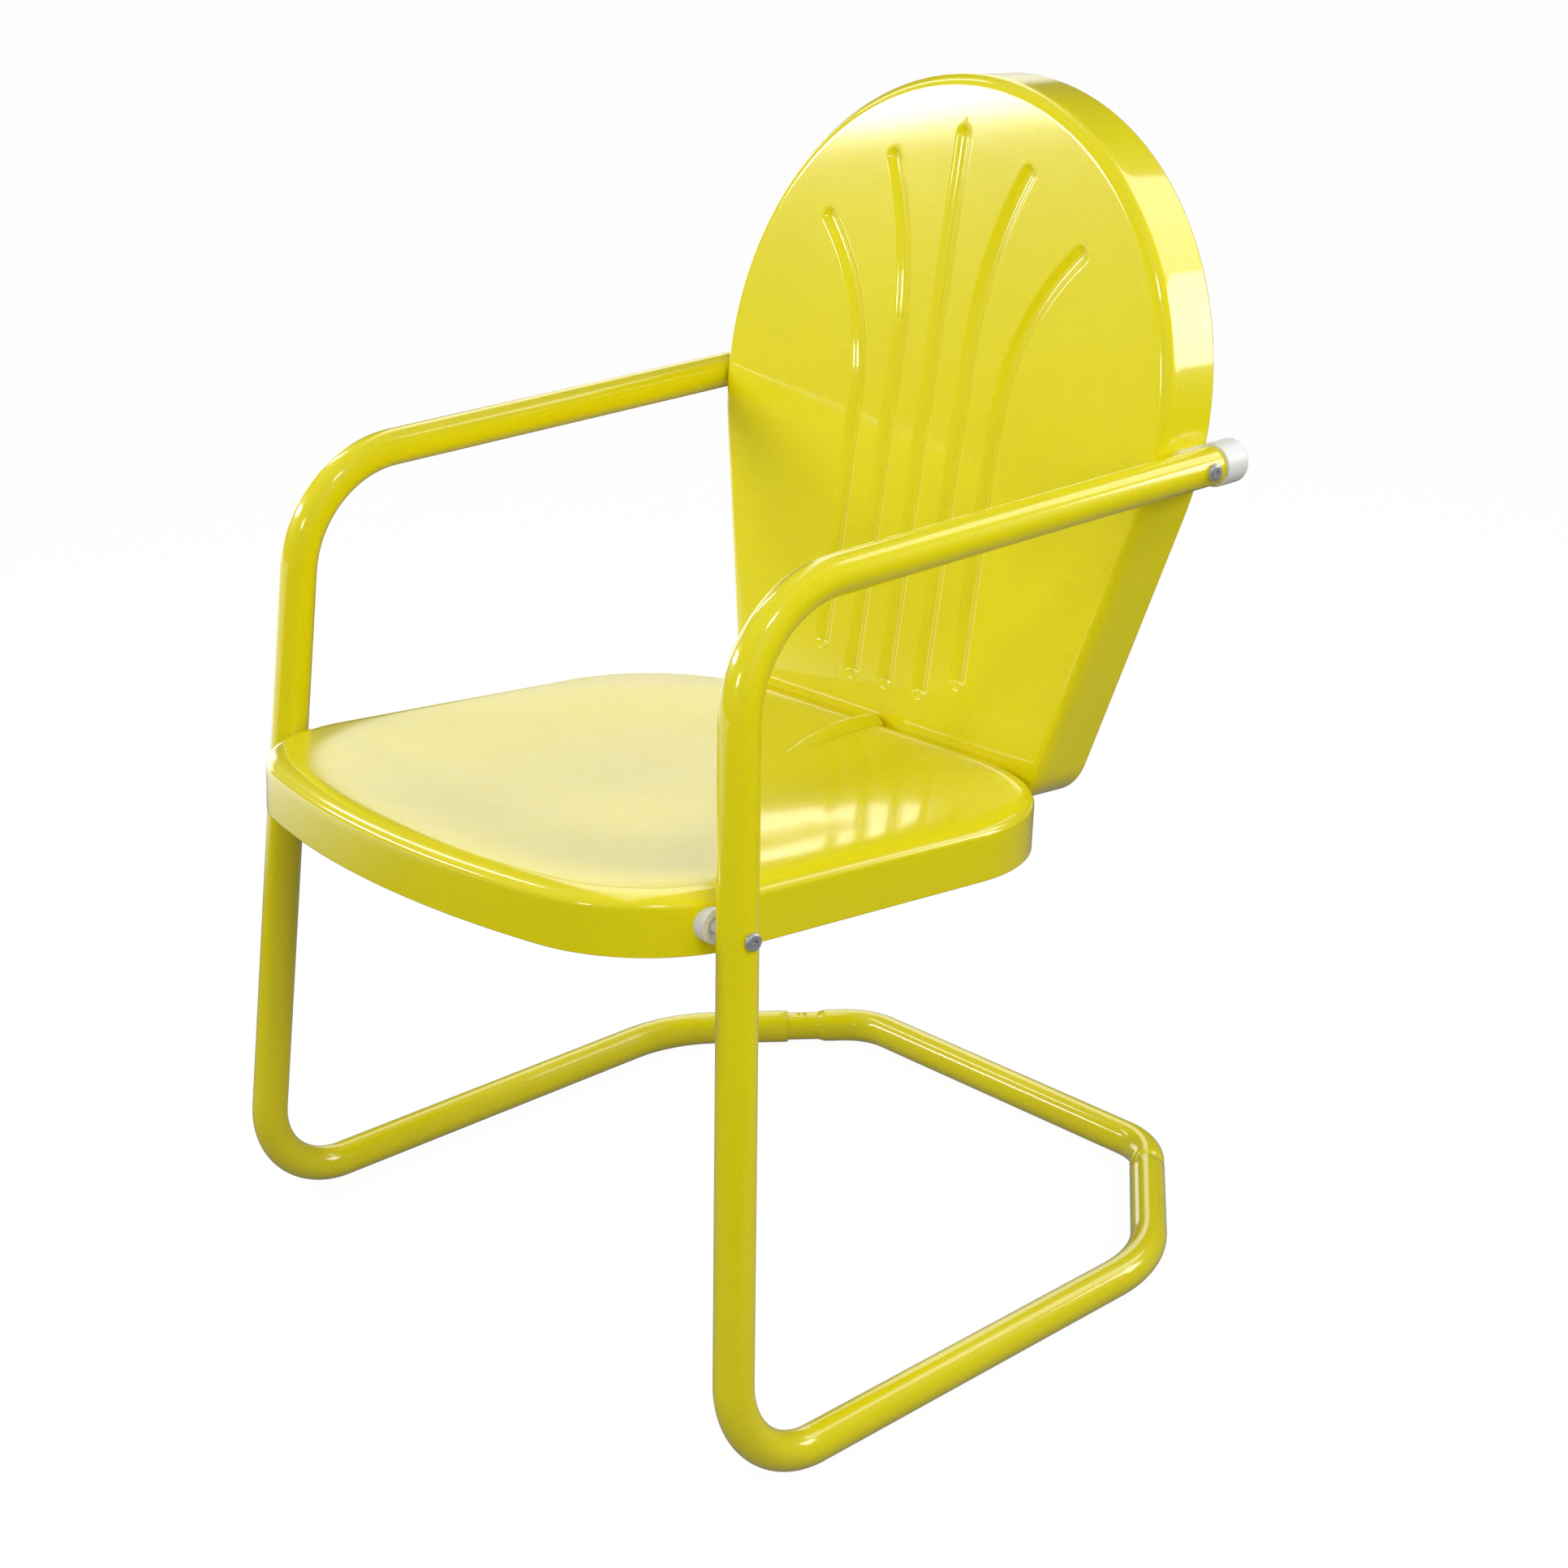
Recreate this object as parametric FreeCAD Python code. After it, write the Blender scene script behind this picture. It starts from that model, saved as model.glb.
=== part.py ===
import FreeCAD, Part
import math
import os

Vector = FreeCAD.Vector

# Driving dimensions, in millimetres and degrees
# Left and right are the sitter's own, the sitter looks along -Y, and the floor is z = 0

# Bent tube
tube_od = 28.6
tube_wall = 1.8
arm_height = 620.6
arm_front_y = 77.0
arm_front_gap = 8.3
arm_past_screw = 29.5
arm_rear_gap = 16.5
foot_y = 0.0
foot_spread = 51.0
runner_rear_y = 428.4
runner_toe_in = 4.6
crossbar_y = 562.8
crossbar_half_length = 169.4
arm_bend_radius = 92.0
foot_bend_radius = 67.0
runner_bend_radius = 110.0
crossbar_bend_radius = 56.0

# Slip joints between the side tubes and the crossbar
left_joint_straight = 3.0
right_joint_straight = 15.0
left_swage_shown = 1.5
right_swage_shown = 27.0
swage_taper = 8.0
swage_insert = 42.0
swage_clearance = 0.05
dimple_radius = 5.0
dimple_depth = 1.0

# Pressed sheet
sheet = 1.4
pan_edge_radius = 9.0

# Seat pan
seat_half_width = 247.0
seat_depth = 481.0
seat_skirt = 42.0
seat_tilt = 5.5
seat_rear_y = 429.9
seat_rear_z = 387.0
seat_rear_corner = 130.0
seat_front_corner = 110.0
seat_front_radius = 700.0
dish_depth = 17.0
rim_width = 14.0
dish_steps = 24
dish_margin = 20.0
ridge_length = 112.0
ridge_tip_drop = 3.0
ridge_radius = 11.0
ridge_rear_radius = 8.0
ridge_rear_height = 5.0
ridge_rear_gap = 3.0

# Back pan
back_recline = 13.16
back_radius = 242.0
back_centre_rise = 258.0
back_bottom_half_width = 168.5
back_bottom_drop = 37.6
back_corner = 38.0
back_flange = 52.0
back_flange_lean = 8.0
crease_rise = 6.2
crease_radius = 12.0
flute_width = 16.0
flute_depth = 4.0
flute_spacing = 39.0
centre_flute_top = 454.0
inner_flute_top = 431.0
outer_flute_top = 378.0
inner_flute_foot = 27.0
outer_flute_foot = 43.0
inner_flute_bend_rise = 288.0
outer_flute_bend_rise = 240.0
inner_flute_bend_radius = 320.0
outer_flute_bend_radius = 190.0

# Screws, washers and nuts
screw_diameter = 6.0
screw_head_diameter = 13.0
screw_head_height = 3.6
screw_head_rounding = 2.5
screw_recess_across_flats = 4.0
screw_recess_depth = 1.8
screw_hole_clearance = 0.3
thread_clearance = 0.03
washer_diameter = 12.0
washer_thickness = 1.2
nut_across_flats = 10.0
nut_height = 5.0
screw_end_past_nut = 2.5
arm_screw_depth = 29.0
back_screw_drop = 15.4
back_screw_spacing = 80.0

# White plastic pieces
cap_od = 32.8
cap_bore_clearance = 0.05
cap_cover = 15.0
cap_end_thickness = 8.0
cap_edge_radius = 3.5
pad_height = 22.0
spacer_diameter = 25.0
spacer_flange = 7.5
spacer_recess_diameter = 16.0
spacer_recess_depth = 2.4
spacer_hub_diameter = 10.0
spacer_clearance = 0.05

# Values worked out from the driving dimensions
tube_radius = tube_od / 2.0
bore_radius = tube_radius - tube_wall
screw_radius = screw_diameter / 2.0
hole_radius = screw_radius + screw_hole_clearance
swage_radius = bore_radius - swage_clearance
arm_front_half_span = seat_half_width + arm_front_gap
arm_rear_half_span = back_radius + arm_rear_gap
foot_half_span = seat_half_width + foot_spread
runner_rear_half_span = foot_half_span - runner_toe_in


# General geometry

def corner(before, point, after, radius):
    """Start, middle and end of the arc that rounds one corner."""
    to_before = (before - point).normalize()
    to_after = (after - point).normalize()
    half_turn = (math.pi - to_before.getAngle(to_after)) / 2.0
    setback = radius * math.tan(half_turn)
    bisector = (to_before + to_after).normalize()
    centre = point + bisector * (radius / math.cos(half_turn))
    return point + to_before * setback, centre - bisector * radius, point + to_after * setback


def rounded_path(points, radii):
    """Wire of straight runs joined by tangent arcs."""
    edges = []
    start = points[0]
    for index, radius in enumerate(radii, start=1):
        first, middle, last = corner(points[index - 1], points[index], points[index + 1], radius)
        edges.append(Part.LineSegment(start, first).toShape())
        edges.append(Part.Arc(first, middle, last).toShape())
        start = last
    edges.append(Part.LineSegment(start, points[-1]).toShape())
    return Part.Wire(edges)


def round_bar(path, radius):
    """Solid of circular section along the straight runs and arcs of a path."""
    runs = []
    for edge in path.OrderedEdges:
        start = edge.valueAt(edge.FirstParameter)
        if edge.Curve.TypeId == "Part::GeomCircle":
            ring = Part.makeCircle(radius, start, edge.tangentAt(edge.FirstParameter))
            disc = Part.Face(Part.Wire(ring))
            turn = math.degrees(edge.LastParameter - edge.FirstParameter)
            runs.append(disc.revolve(edge.Curve.Center, edge.Curve.Axis, turn))
        else:
            runs.append(cylinder_between(start, edge.valueAt(edge.LastParameter), radius))
    return joined(runs)


def joined(shapes):
    """One solid from pieces that share flat ends."""
    if len(shapes) == 1:
        return shapes[0]
    return shapes[0].fuse(shapes[1:]).removeSplitter()


def cylinder_between(start, end, radius):
    """Round bar from one point to another."""
    return Part.makeCylinder(radius, (end - start).Length, start, end - start)


def cone_between(start, end, start_radius, end_radius):
    """Tapered round bar from one point to another."""
    axis = end - start
    return Part.makeCone(start_radius, end_radius, axis.Length, start, axis)


def cross_hole(point, axis, radius, reach):
    """Cutter for a round hole centred on a point."""
    return cylinder_between(point - axis * reach, point + axis * reach, radius)


def mirrored(shape):
    """The same piece on the chair's other side."""
    return shape.mirror(Vector(0, 0, 0), Vector(1, 0, 0))


# Frames that the two pans are drawn in
# Each has X across the chair and its origin on the line where the back meets the seat's rear wall

seat_frame = FreeCAD.Placement(
    Vector(0, seat_rear_y, seat_rear_z),
    FreeCAD.Rotation(Vector(1, 0, 0), -seat_tilt),
)
back_frame = FreeCAD.Placement(
    seat_frame.multVec(Vector(0, 0, crease_rise)),
    FreeCAD.Rotation(Vector(1, 0, 0), 90.0 - back_recline),
)
SEAT_UP = seat_frame.Rotation.multVec(Vector(0, 0, 1))
SEAT_REARWARD = seat_frame.Rotation.multVec(Vector(0, 1, 0))
BACK_FORWARD = back_frame.Rotation.multVec(Vector(0, 0, 1))
ACROSS = Vector(1, 0, 0)
REARWARD = Vector(0, 1, 0)


def placed(shape, frame):
    """Copy of a shape moved from its own frame to the chair's."""
    moved = shape.copy()
    moved.Placement = frame.multiply(moved.Placement)
    return moved


def point_on_line(start, end, plane_point, normal):
    """Where the line through two points crosses a plane."""
    direction = end - start
    share = (plane_point - start).dot(normal) / direction.dot(normal)
    return start + direction * share


# Centre line of one side tube, on the sitter's left: the arm ends a set distance past its screw

flange_point = back_frame.multVec(Vector(0, 0, -arm_screw_depth))
arm_level = Vector(0, 0, arm_height)
arm_screw_y = point_on_line(arm_level, arm_level + REARWARD, flange_point, BACK_FORWARD).y
arm_end = Vector(arm_rear_half_span, arm_screw_y + arm_past_screw, arm_height)
arm_corner = Vector(arm_front_half_span, arm_front_y, arm_height)
foot_corner = Vector(foot_half_span, foot_y, tube_radius)
runner_corner = Vector(runner_rear_half_span, runner_rear_y, tube_radius)
crossbar_corner = Vector(crossbar_half_length, crossbar_y, tube_radius)
arm_axis = (arm_end - arm_corner).normalize()
leg_axis = (foot_corner - arm_corner).normalize()


# Screw centres, on the sitter's left
# The seat screw crosses the leg at the middle of the skirt, and the arm screw crosses the flange

seat_screw_centre = point_on_line(
    arm_corner,
    foot_corner,
    seat_frame.multVec(Vector(0, 0, -seat_skirt / 2.0)),
    SEAT_UP,
)
arm_screw_centre = point_on_line(arm_corner, arm_end, flange_point, BACK_FORWARD)


# Slip joints, drawn on the sitter's left: both run from the crossbar's bend to the runner's bend

other_crossbar_corner = Vector(-crossbar_corner.x, crossbar_corner.y, crossbar_corner.z)
crossbar_bend_end = corner(
    runner_corner,
    crossbar_corner,
    other_crossbar_corner,
    crossbar_bend_radius,
)[0]
joint_axis = (runner_corner - crossbar_corner).normalize()


def slip_joint(straight, shown):
    """Points along one joint: end of the full tube, neck, side tube's mouth and inner tip."""
    full = crossbar_bend_end + joint_axis * straight
    neck = full + joint_axis * swage_taper
    mouth = neck + joint_axis * shown
    tip = mouth + joint_axis * swage_insert
    return full, neck, mouth, tip


left_joint = slip_joint(left_joint_straight, left_swage_shown)
right_joint = slip_joint(right_joint_straight, right_swage_shown)


# Side tubes and crossbar

def side_tube_solid(mouth, radius):
    """Bar along the arm, leg, runner and rear corner, up to the open mouth."""
    points = [arm_end, arm_corner, foot_corner, runner_corner, mouth]
    radii = [arm_bend_radius, foot_bend_radius, runner_bend_radius]
    return round_bar(rounded_path(points, radii), radius)


def side_tube(joint):
    """One bent side tube with its two screw holes, on the sitter's left."""
    mouth = joint[2]
    tube = side_tube_solid(mouth, tube_radius)
    tube = tube.cut(side_tube_solid(mouth, bore_radius))
    for centre in (arm_screw_centre, seat_screw_centre):
        tube = tube.cut(cross_hole(centre, ACROSS, hole_radius, tube_od))
    return tube


def swaged_end(joint, wall):
    """Narrowed end of the crossbar, its surface moved inwards by the given wall."""
    full, neck, _, tip = joint
    taper = cone_between(full, neck, tube_radius - wall, swage_radius - wall)
    return [taper, cylinder_between(neck, tip, swage_radius - wall)]


def crossbar_solid(wall):
    """Crossbar with bent and narrowed ends, its surface moved inwards by the given wall."""
    left_full = left_joint[0]
    right_full = Vector(-right_joint[0].x, right_joint[0].y, right_joint[0].z)
    points = [left_full, crossbar_corner, other_crossbar_corner, right_full]
    pieces = [round_bar(rounded_path(points, [crossbar_bend_radius] * 2), tube_radius - wall)]
    pieces += swaged_end(left_joint, wall)
    pieces += [mirrored(piece) for piece in swaged_end(right_joint, wall)]
    return joined(pieces)


def rear_crossbar():
    """Crossbar tube with a round locating dimple on top of the narrowed end that shows."""
    bar = crossbar_solid(0.0).cut(crossbar_solid(tube_wall))
    ball = (dimple_radius ** 2 + dimple_depth ** 2) / (2.0 * dimple_depth)
    centre = right_joint[1] + joint_axis * right_swage_shown / 2.0
    centre = centre + Vector(0, 0, swage_radius - dimple_depth + ball)
    return bar.cut(mirrored(Part.makeSphere(ball, centre)))


# Seat pan

def seat_outline():
    """Plan outline of the seat: straight rear, rounded corners and a bowed front."""
    rear_centre = seat_half_width - seat_rear_corner
    front_centre = seat_half_width - seat_front_corner
    bow_centre_y = seat_front_radius - seat_depth
    reach = seat_front_radius - seat_front_corner
    front_y = bow_centre_y - math.sqrt(reach ** 2 - front_centre ** 2)
    turn = math.atan2(front_centre, bow_centre_y - front_y)
    bow_end_x = seat_front_radius * math.sin(turn)
    bow_end_y = bow_centre_y - seat_front_radius * math.cos(turn)
    rear_mid = seat_rear_corner * math.sqrt(0.5)
    half = (math.pi / 2.0 - turn) / 2.0
    edges = []
    for side in (1.0, -1.0):
        rear_arc = Part.Arc(
            Vector(side * rear_centre, 0, 0),
            Vector(side * (rear_centre + rear_mid), rear_mid - seat_rear_corner, 0),
            Vector(side * seat_half_width, -seat_rear_corner, 0),
        )
        side_line = Part.LineSegment(
            Vector(side * seat_half_width, -seat_rear_corner, 0),
            Vector(side * seat_half_width, front_y, 0),
        )
        front_arc = Part.Arc(
            Vector(side * seat_half_width, front_y, 0),
            Vector(
                side * (front_centre + seat_front_corner * math.cos(half)),
                front_y - seat_front_corner * math.sin(half),
                0,
            ),
            Vector(side * bow_end_x, bow_end_y, 0),
        )
        edges += [rear_arc.toShape(), side_line.toShape(), front_arc.toShape()]
    bow = Part.Arc(
        Vector(bow_end_x, bow_end_y, 0),
        Vector(0, -seat_depth, 0),
        Vector(-bow_end_x, bow_end_y, 0),
    )
    rear = Part.LineSegment(Vector(-rear_centre, 0, 0), Vector(rear_centre, 0, 0))
    edges += [bow.toShape(), rear.toShape()]
    return Part.Wire(Part.__sortEdges__(edges))


def dish_height(x, y):
    """Height of the pressed seat surface: flat at the rim and lowest in the middle."""
    across = abs(x) / (seat_half_width - rim_width)
    lengthwise = abs(y + seat_depth / 2.0) / (seat_depth / 2.0 - rim_width)
    reach = (across ** 3 + lengthwise ** 3) ** (1.0 / 3.0)
    if reach >= 1.0:
        return 0.0
    return -dish_depth * (1.0 - reach ** 3) ** 2


def above_dish(drop):
    """Everything above the seat surface, lowered by the given drop."""
    steps = dish_steps
    margin = dish_margin
    rows = []
    for i in range(steps + 1):
        x = (2.0 * i / steps - 1.0) * (seat_half_width + margin)
        row = []
        for j in range(steps + 1):
            y = margin - (seat_depth + 2.0 * margin) * j / steps
            row.append(Vector(x, y, dish_height(x, y) - drop))
        rows.append(row)
    surface = Part.BSplineSurface()
    surface.interpolate(rows)
    return surface.toShape().extrude(Vector(0, 0, 4.0 * dish_depth))


def seat_form(inset, floor):
    """Filled seat shape, its walls and top moved inwards by the inset."""
    outline = seat_outline()
    if inset > 0.0:
        outline = outline.makeOffset2D(-inset)
    block = Part.Face(outline).extrude(Vector(0, 0, dish_depth - floor))
    block.translate(Vector(0, 0, floor))
    block = block.cut(above_dish(inset))
    rim = [edge for edge in block.Edges if edge.BoundBox.ZMin > -seat_skirt / 2.0]
    block = block.makeFillet(pan_edge_radius - inset, rim)
    return block.fuse(seat_ridge(inset))


def seat_ridge(inset):
    """Raised ridge on the centre line: a spindle sunk in the seat, cut square behind the rim."""
    tip = Vector(0, -ridge_length, dish_height(0, -ridge_length) - ridge_tip_drop)
    rear = Vector(0, -ridge_rear_gap - inset, ridge_rear_height - ridge_rear_radius)
    axis = rear - tip
    out = axis.cross(Vector(-1, 0, 0)).normalize()
    middle = tip + axis * 0.5 + out * (ridge_radius - inset)
    crest = rear + out * (ridge_rear_radius - inset)
    edges = [
        Part.Arc(tip, middle, crest).toShape(),
        Part.LineSegment(crest, rear).toShape(),
        Part.LineSegment(rear, tip).toShape(),
    ]
    return Part.Face(Part.Wire(edges)).revolve(tip, axis, 360.0)


def seat_screw_row():
    """Centres of the screws that hold the back, along the seat's rear wall."""
    return [Vector(step * back_screw_spacing, 0, -back_screw_drop) for step in (-1, 0, 1)]


def seat_row_holes():
    """Cutters for the row of holes through the seat's rear wall and the back's strip."""
    reach = 10.0 * sheet
    centres = [seat_frame.multVec(centre) for centre in seat_screw_row()]
    return [cross_hole(centre, SEAT_REARWARD, hole_radius, reach) for centre in centres]


def seat_pan():
    """Pressed seat with its skirt and screw holes."""
    pan = seat_form(0.0, -seat_skirt)
    pan = placed(pan.cut(seat_form(sheet, -2.0 * seat_skirt)), seat_frame)
    pan = pan.cut(cross_hole(seat_screw_centre, ACROSS, hole_radius, 3.0 * seat_half_width))
    return pan.cut(seat_row_holes())


# Back pan

def back_outline():
    """Outline of the back: a round top on sides that taper to rounded bottom corners."""
    bottom = Vector(back_bottom_half_width, -back_bottom_drop, 0)
    centre = Vector(0, back_centre_rise, 0)
    to_centre = centre - bottom
    spread = math.asin(back_radius / to_centre.Length)
    heading = math.atan2(to_centre.y, to_centre.x) - spread
    run = to_centre.Length * math.cos(spread)
    right = bottom + Vector(math.cos(heading), math.sin(heading), 0) * run
    left = Vector(-right.x, right.y, 0)
    other = Vector(-bottom.x, bottom.y, 0)
    lower = rounded_path([right, bottom, other, left], [back_corner] * 2)
    top = Part.Arc(left, centre + Vector(0, back_radius, 0), right)
    return Part.Wire(lower.OrderedEdges + [top.toShape()])


def rearward(depth):
    """Move from the face back along the leaning flange to a depth."""
    return Vector(0, depth * math.tan(math.radians(back_flange_lean)), -depth)


def behind_face(inset):
    """Everything behind the bent front face, moved rearwards by the inset."""
    bend = math.radians(back_recline - seat_tilt)
    reach = 4.0 * back_radius
    panel_normal = Vector(0, 0, 1)
    strip_normal = Vector(0, -math.sin(bend), math.cos(bend))
    strip_down = Vector(0, -math.cos(bend), -math.sin(bend))
    share = inset / (1.0 + panel_normal.dot(strip_normal))
    crease = Vector(-reach, 0, 0) - (panel_normal + strip_normal) * share
    top = crease + Vector(0, reach, 0)
    foot = crease + strip_down * reach
    front = rounded_path([top, crease, foot], [crease_radius - inset])
    rear_foot = Vector(-reach, foot.y, -reach)
    rear_top = Vector(-reach, top.y, -reach)
    rear = Part.makePolygon([foot, rear_foot, rear_top, top])
    profile = Part.Face(Part.Wire(front.OrderedEdges + rear.OrderedEdges))
    return profile.extrude(Vector(2.0 * reach, 0, 0))


def flute_path(offset, foot, bend_rise, bend_radius, top):
    """Centre line of one flute: straight from its foot, then curving outwards."""
    start = Vector(offset, foot, 0)
    if offset == 0.0:
        return Part.Wire([Part.LineSegment(start, Vector(0, top, 0)).toShape()])
    side = math.copysign(1.0, offset)
    turn = math.asin((top - bend_rise) / bend_radius)
    points = []
    for angle in (0.0, turn / 2.0, turn):
        out = bend_radius * (1.0 - math.cos(angle))
        points.append(Vector(offset + side * out, bend_rise + bend_radius * math.sin(angle), 0))
    line = Part.LineSegment(start, points[0]).toShape()
    return Part.Wire([line, Part.Arc(*points).toShape()])


def flute_paths():
    """The five flutes, from the centre outwards."""
    paths = [flute_path(0.0, inner_flute_foot, 0.0, 1.0, centre_flute_top)]
    for side in (1.0, -1.0):
        inner = (inner_flute_foot, inner_flute_bend_rise, inner_flute_bend_radius, inner_flute_top)
        outer = (outer_flute_foot, outer_flute_bend_rise, outer_flute_bend_radius, outer_flute_top)
        paths.append(flute_path(side * flute_spacing, *inner))
        paths.append(flute_path(side * 2.0 * flute_spacing, *outer))
    return paths


def flute_cutters(inset):
    """Round-ended bars that press the flutes, grown by the inset for the rear side."""
    radius = ((flute_width / 2.0) ** 2 + flute_depth ** 2) / (2.0 * flute_depth)
    stand_off = Vector(0, 0, radius - flute_depth)
    cutters = []
    for path in flute_paths():
        path.translate(stand_off)
        bar = round_bar(path, radius + inset)
        ends = [path.OrderedEdges[0].firstVertex().Point, path.OrderedEdges[-1].lastVertex().Point]
        balls = [Part.makeSphere(radius + inset, end) for end in ends]
        cutters.append(bar.fuse(balls))
    return cutters


def back_form(inset, depth):
    """Filled back shape, its walls and face moved inwards by the inset."""
    outline = back_outline()
    if inset > 0.0:
        outline = outline.makeOffset2D(-inset)
    block = Part.Face(outline).extrude(rearward(depth))
    block = block.common(behind_face(inset))
    rim = [edge for edge in block.Edges if edge.BoundBox.ZMin > -back_flange / 2.0]
    rim = [edge for edge in rim if not is_crease(edge)]
    block = block.makeFillet(pan_edge_radius - inset, rim)
    return block.cut(flute_cutters(inset))


def is_crease(edge):
    """True for the long edges where the bend above the lower strip starts and ends."""
    box = edge.BoundBox
    return box.XLength > back_bottom_half_width and abs(box.Center.y) < crease_radius


def back_pan():
    """Pressed back with its flange and screw holes."""
    pan = back_form(0.0, back_flange)
    pan = placed(pan.cut(back_form(sheet, 2.0 * back_flange)), back_frame)
    pan = pan.cut(cross_hole(arm_screw_centre, ACROSS, hole_radius, 3.0 * back_radius))
    return pan.cut(seat_row_holes())


# Fasteners

def screw(seat_point, axis, length):
    """Pan head screw with a hexagonal recess: the axis points from the shank to the head."""
    head = Part.makeCylinder(screw_head_diameter / 2.0, screw_head_height)
    top = [edge for edge in head.Edges if edge.BoundBox.ZMin > screw_head_height / 2.0]
    head = head.makeFillet(screw_head_rounding, top)
    shank = cylinder_between(Vector(0, 0, 0), Vector(0, 0, -length), screw_radius)
    recess = hexagon(screw_recess_across_flats, 2.0 * screw_recess_depth)
    recess.translate(Vector(0, 0, screw_head_height - screw_recess_depth))
    return turned(head.fuse(shank).cut(recess), seat_point, axis)


def hexagon(across_flats, height):
    """Hexagonal bar standing on the origin."""
    reach = across_flats / math.sqrt(3.0)
    turns = [math.radians(60.0 * step) for step in range(7)]
    points = [Vector(reach * math.cos(turn), reach * math.sin(turn), 0) for turn in turns]
    return Part.Face(Part.makePolygon(points)).extrude(Vector(0, 0, height))


def turned(shape, point, axis):
    """Move a shape drawn along +Z from the origin to a point and a direction."""
    frame = FreeCAD.Placement(point, FreeCAD.Rotation(Vector(0, 0, 1), axis))
    return placed(shape, frame)


def washer(point, axis):
    """Flat washer standing on a point."""
    ring = Part.makeCylinder(washer_diameter / 2.0, washer_thickness)
    ring = ring.cut(Part.makeCylinder(screw_radius + thread_clearance, washer_thickness))
    return turned(ring, point, axis)


def nut(point, axis):
    """Hexagonal nut standing on a point."""
    body = hexagon(nut_across_flats, nut_height)
    body = body.cut(Part.makeCylinder(screw_radius + thread_clearance, nut_height))
    return turned(body, point, axis)


def fastener(head_point, inner_point):
    """Screw, washer and nut through a joint, from the head's seat to the inner face."""
    axis = (head_point - inner_point).normalize()
    nut_point = inner_point - axis * washer_thickness
    grip = (head_point - inner_point).Length
    length = grip + washer_thickness + nut_height + screw_end_past_nut
    return [
        screw(head_point, axis, length),
        washer(nut_point, axis),
        nut(nut_point - axis * nut_height, axis),
    ]


def wall_reach(outline, level):
    """How far out an outline lies at a level, at the nearest edge of a washer there."""
    footprint = washer_diameter / math.cos(math.radians(back_flange_lean))
    found = []
    for offset in (-0.5, 0.0, 0.5):
        height = level + offset * footprint
        far = outline.BoundBox.XMax + washer_diameter
        probe = Part.LineSegment(Vector(0, height, 0), Vector(far, height, 0)).toShape()
        found.append(outline.distToShape(probe)[1][0][0].x)
    return min(found)


def tube_surface(centre, axis, side, footprint):
    """Point on a tube's outer or inner side that a flat of the given radius clears."""
    across = math.sqrt(1.0 - axis.x ** 2)
    reach = tube_radius / across + footprint * abs(axis.x) / across
    return centre + ACROSS * (side * reach)


def arm_fastener():
    """Screw through the arm, the cap's pad and the back's flange, on the sitter's left."""
    head = tube_surface(arm_screw_centre, arm_axis, 1.0, screw_head_diameter / 2.0)
    level = back_frame.inverse().multVec(arm_screw_centre).y - rearward(arm_screw_depth).y
    reach = wall_reach(back_outline().makeOffset2D(-sheet), level)
    return fastener(head, Vector(reach, arm_screw_centre.y, arm_screw_centre.z))


def seat_fastener():
    """Screw through the leg, the spacer and the seat's skirt, on the sitter's left."""
    head = tube_surface(seat_screw_centre, leg_axis, 1.0, screw_head_diameter / 2.0)
    level = seat_frame.inverse().multVec(seat_screw_centre).y
    reach = wall_reach(seat_outline().makeOffset2D(-sheet), level)
    return fastener(head, Vector(reach, seat_screw_centre.y, seat_screw_centre.z))


def back_fasteners():
    """Screws through the back's lower strip and the seat's rear wall."""
    pieces = []
    for centre in seat_screw_row():
        head = seat_frame.multVec(centre + Vector(0, sheet, 0))
        inner = seat_frame.multVec(centre - Vector(0, sheet, 0))
        pieces.append(fastener(head, inner))
    return pieces


# White plastic pieces

def arm_cap():
    """Cap on the arm's rear end, with a pad that reaches forward between arm and flange."""
    front = arm_end - arm_axis * cap_cover
    rear = arm_end + arm_axis * cap_end_thickness
    cap = cylinder_between(front, rear, cap_od / 2.0)
    rear_edge = [edge for edge in cap.Edges if edge.BoundBox.YMin > arm_end.y]
    cap = cap.makeFillet(cap_edge_radius, rear_edge)
    pad_inner = Vector(back_radius - sheet, arm_screw_centre.y, arm_height)
    pad_middle = Vector(arm_screw_centre.x, arm_screw_centre.y, arm_height)
    pad_tip = cylinder_between(pad_inner, pad_middle, pad_height / 2.0)
    pad_corner = pad_inner - Vector(0, 0, pad_height / 2.0)
    pad_reach = front.y + cap_cover / 2.0 - pad_inner.y
    pad = Part.makeBox(pad_middle.x - pad_inner.x, pad_reach, pad_height, pad_corner)
    cap = cap.fuse([pad, pad_tip])
    tube = cylinder_between(arm_corner, arm_end, tube_radius + cap_bore_clearance)
    cap = cap.cut(tube).cut(cross_hole(arm_screw_centre, ACROSS, hole_radius, tube_od))
    back = placed(Part.Face(back_outline()).extrude(rearward(2.0 * back_flange)), back_frame)
    cap = cap.cut(back)
    return max(cap.Solids, key=lambda solid: solid.Volume)


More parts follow.
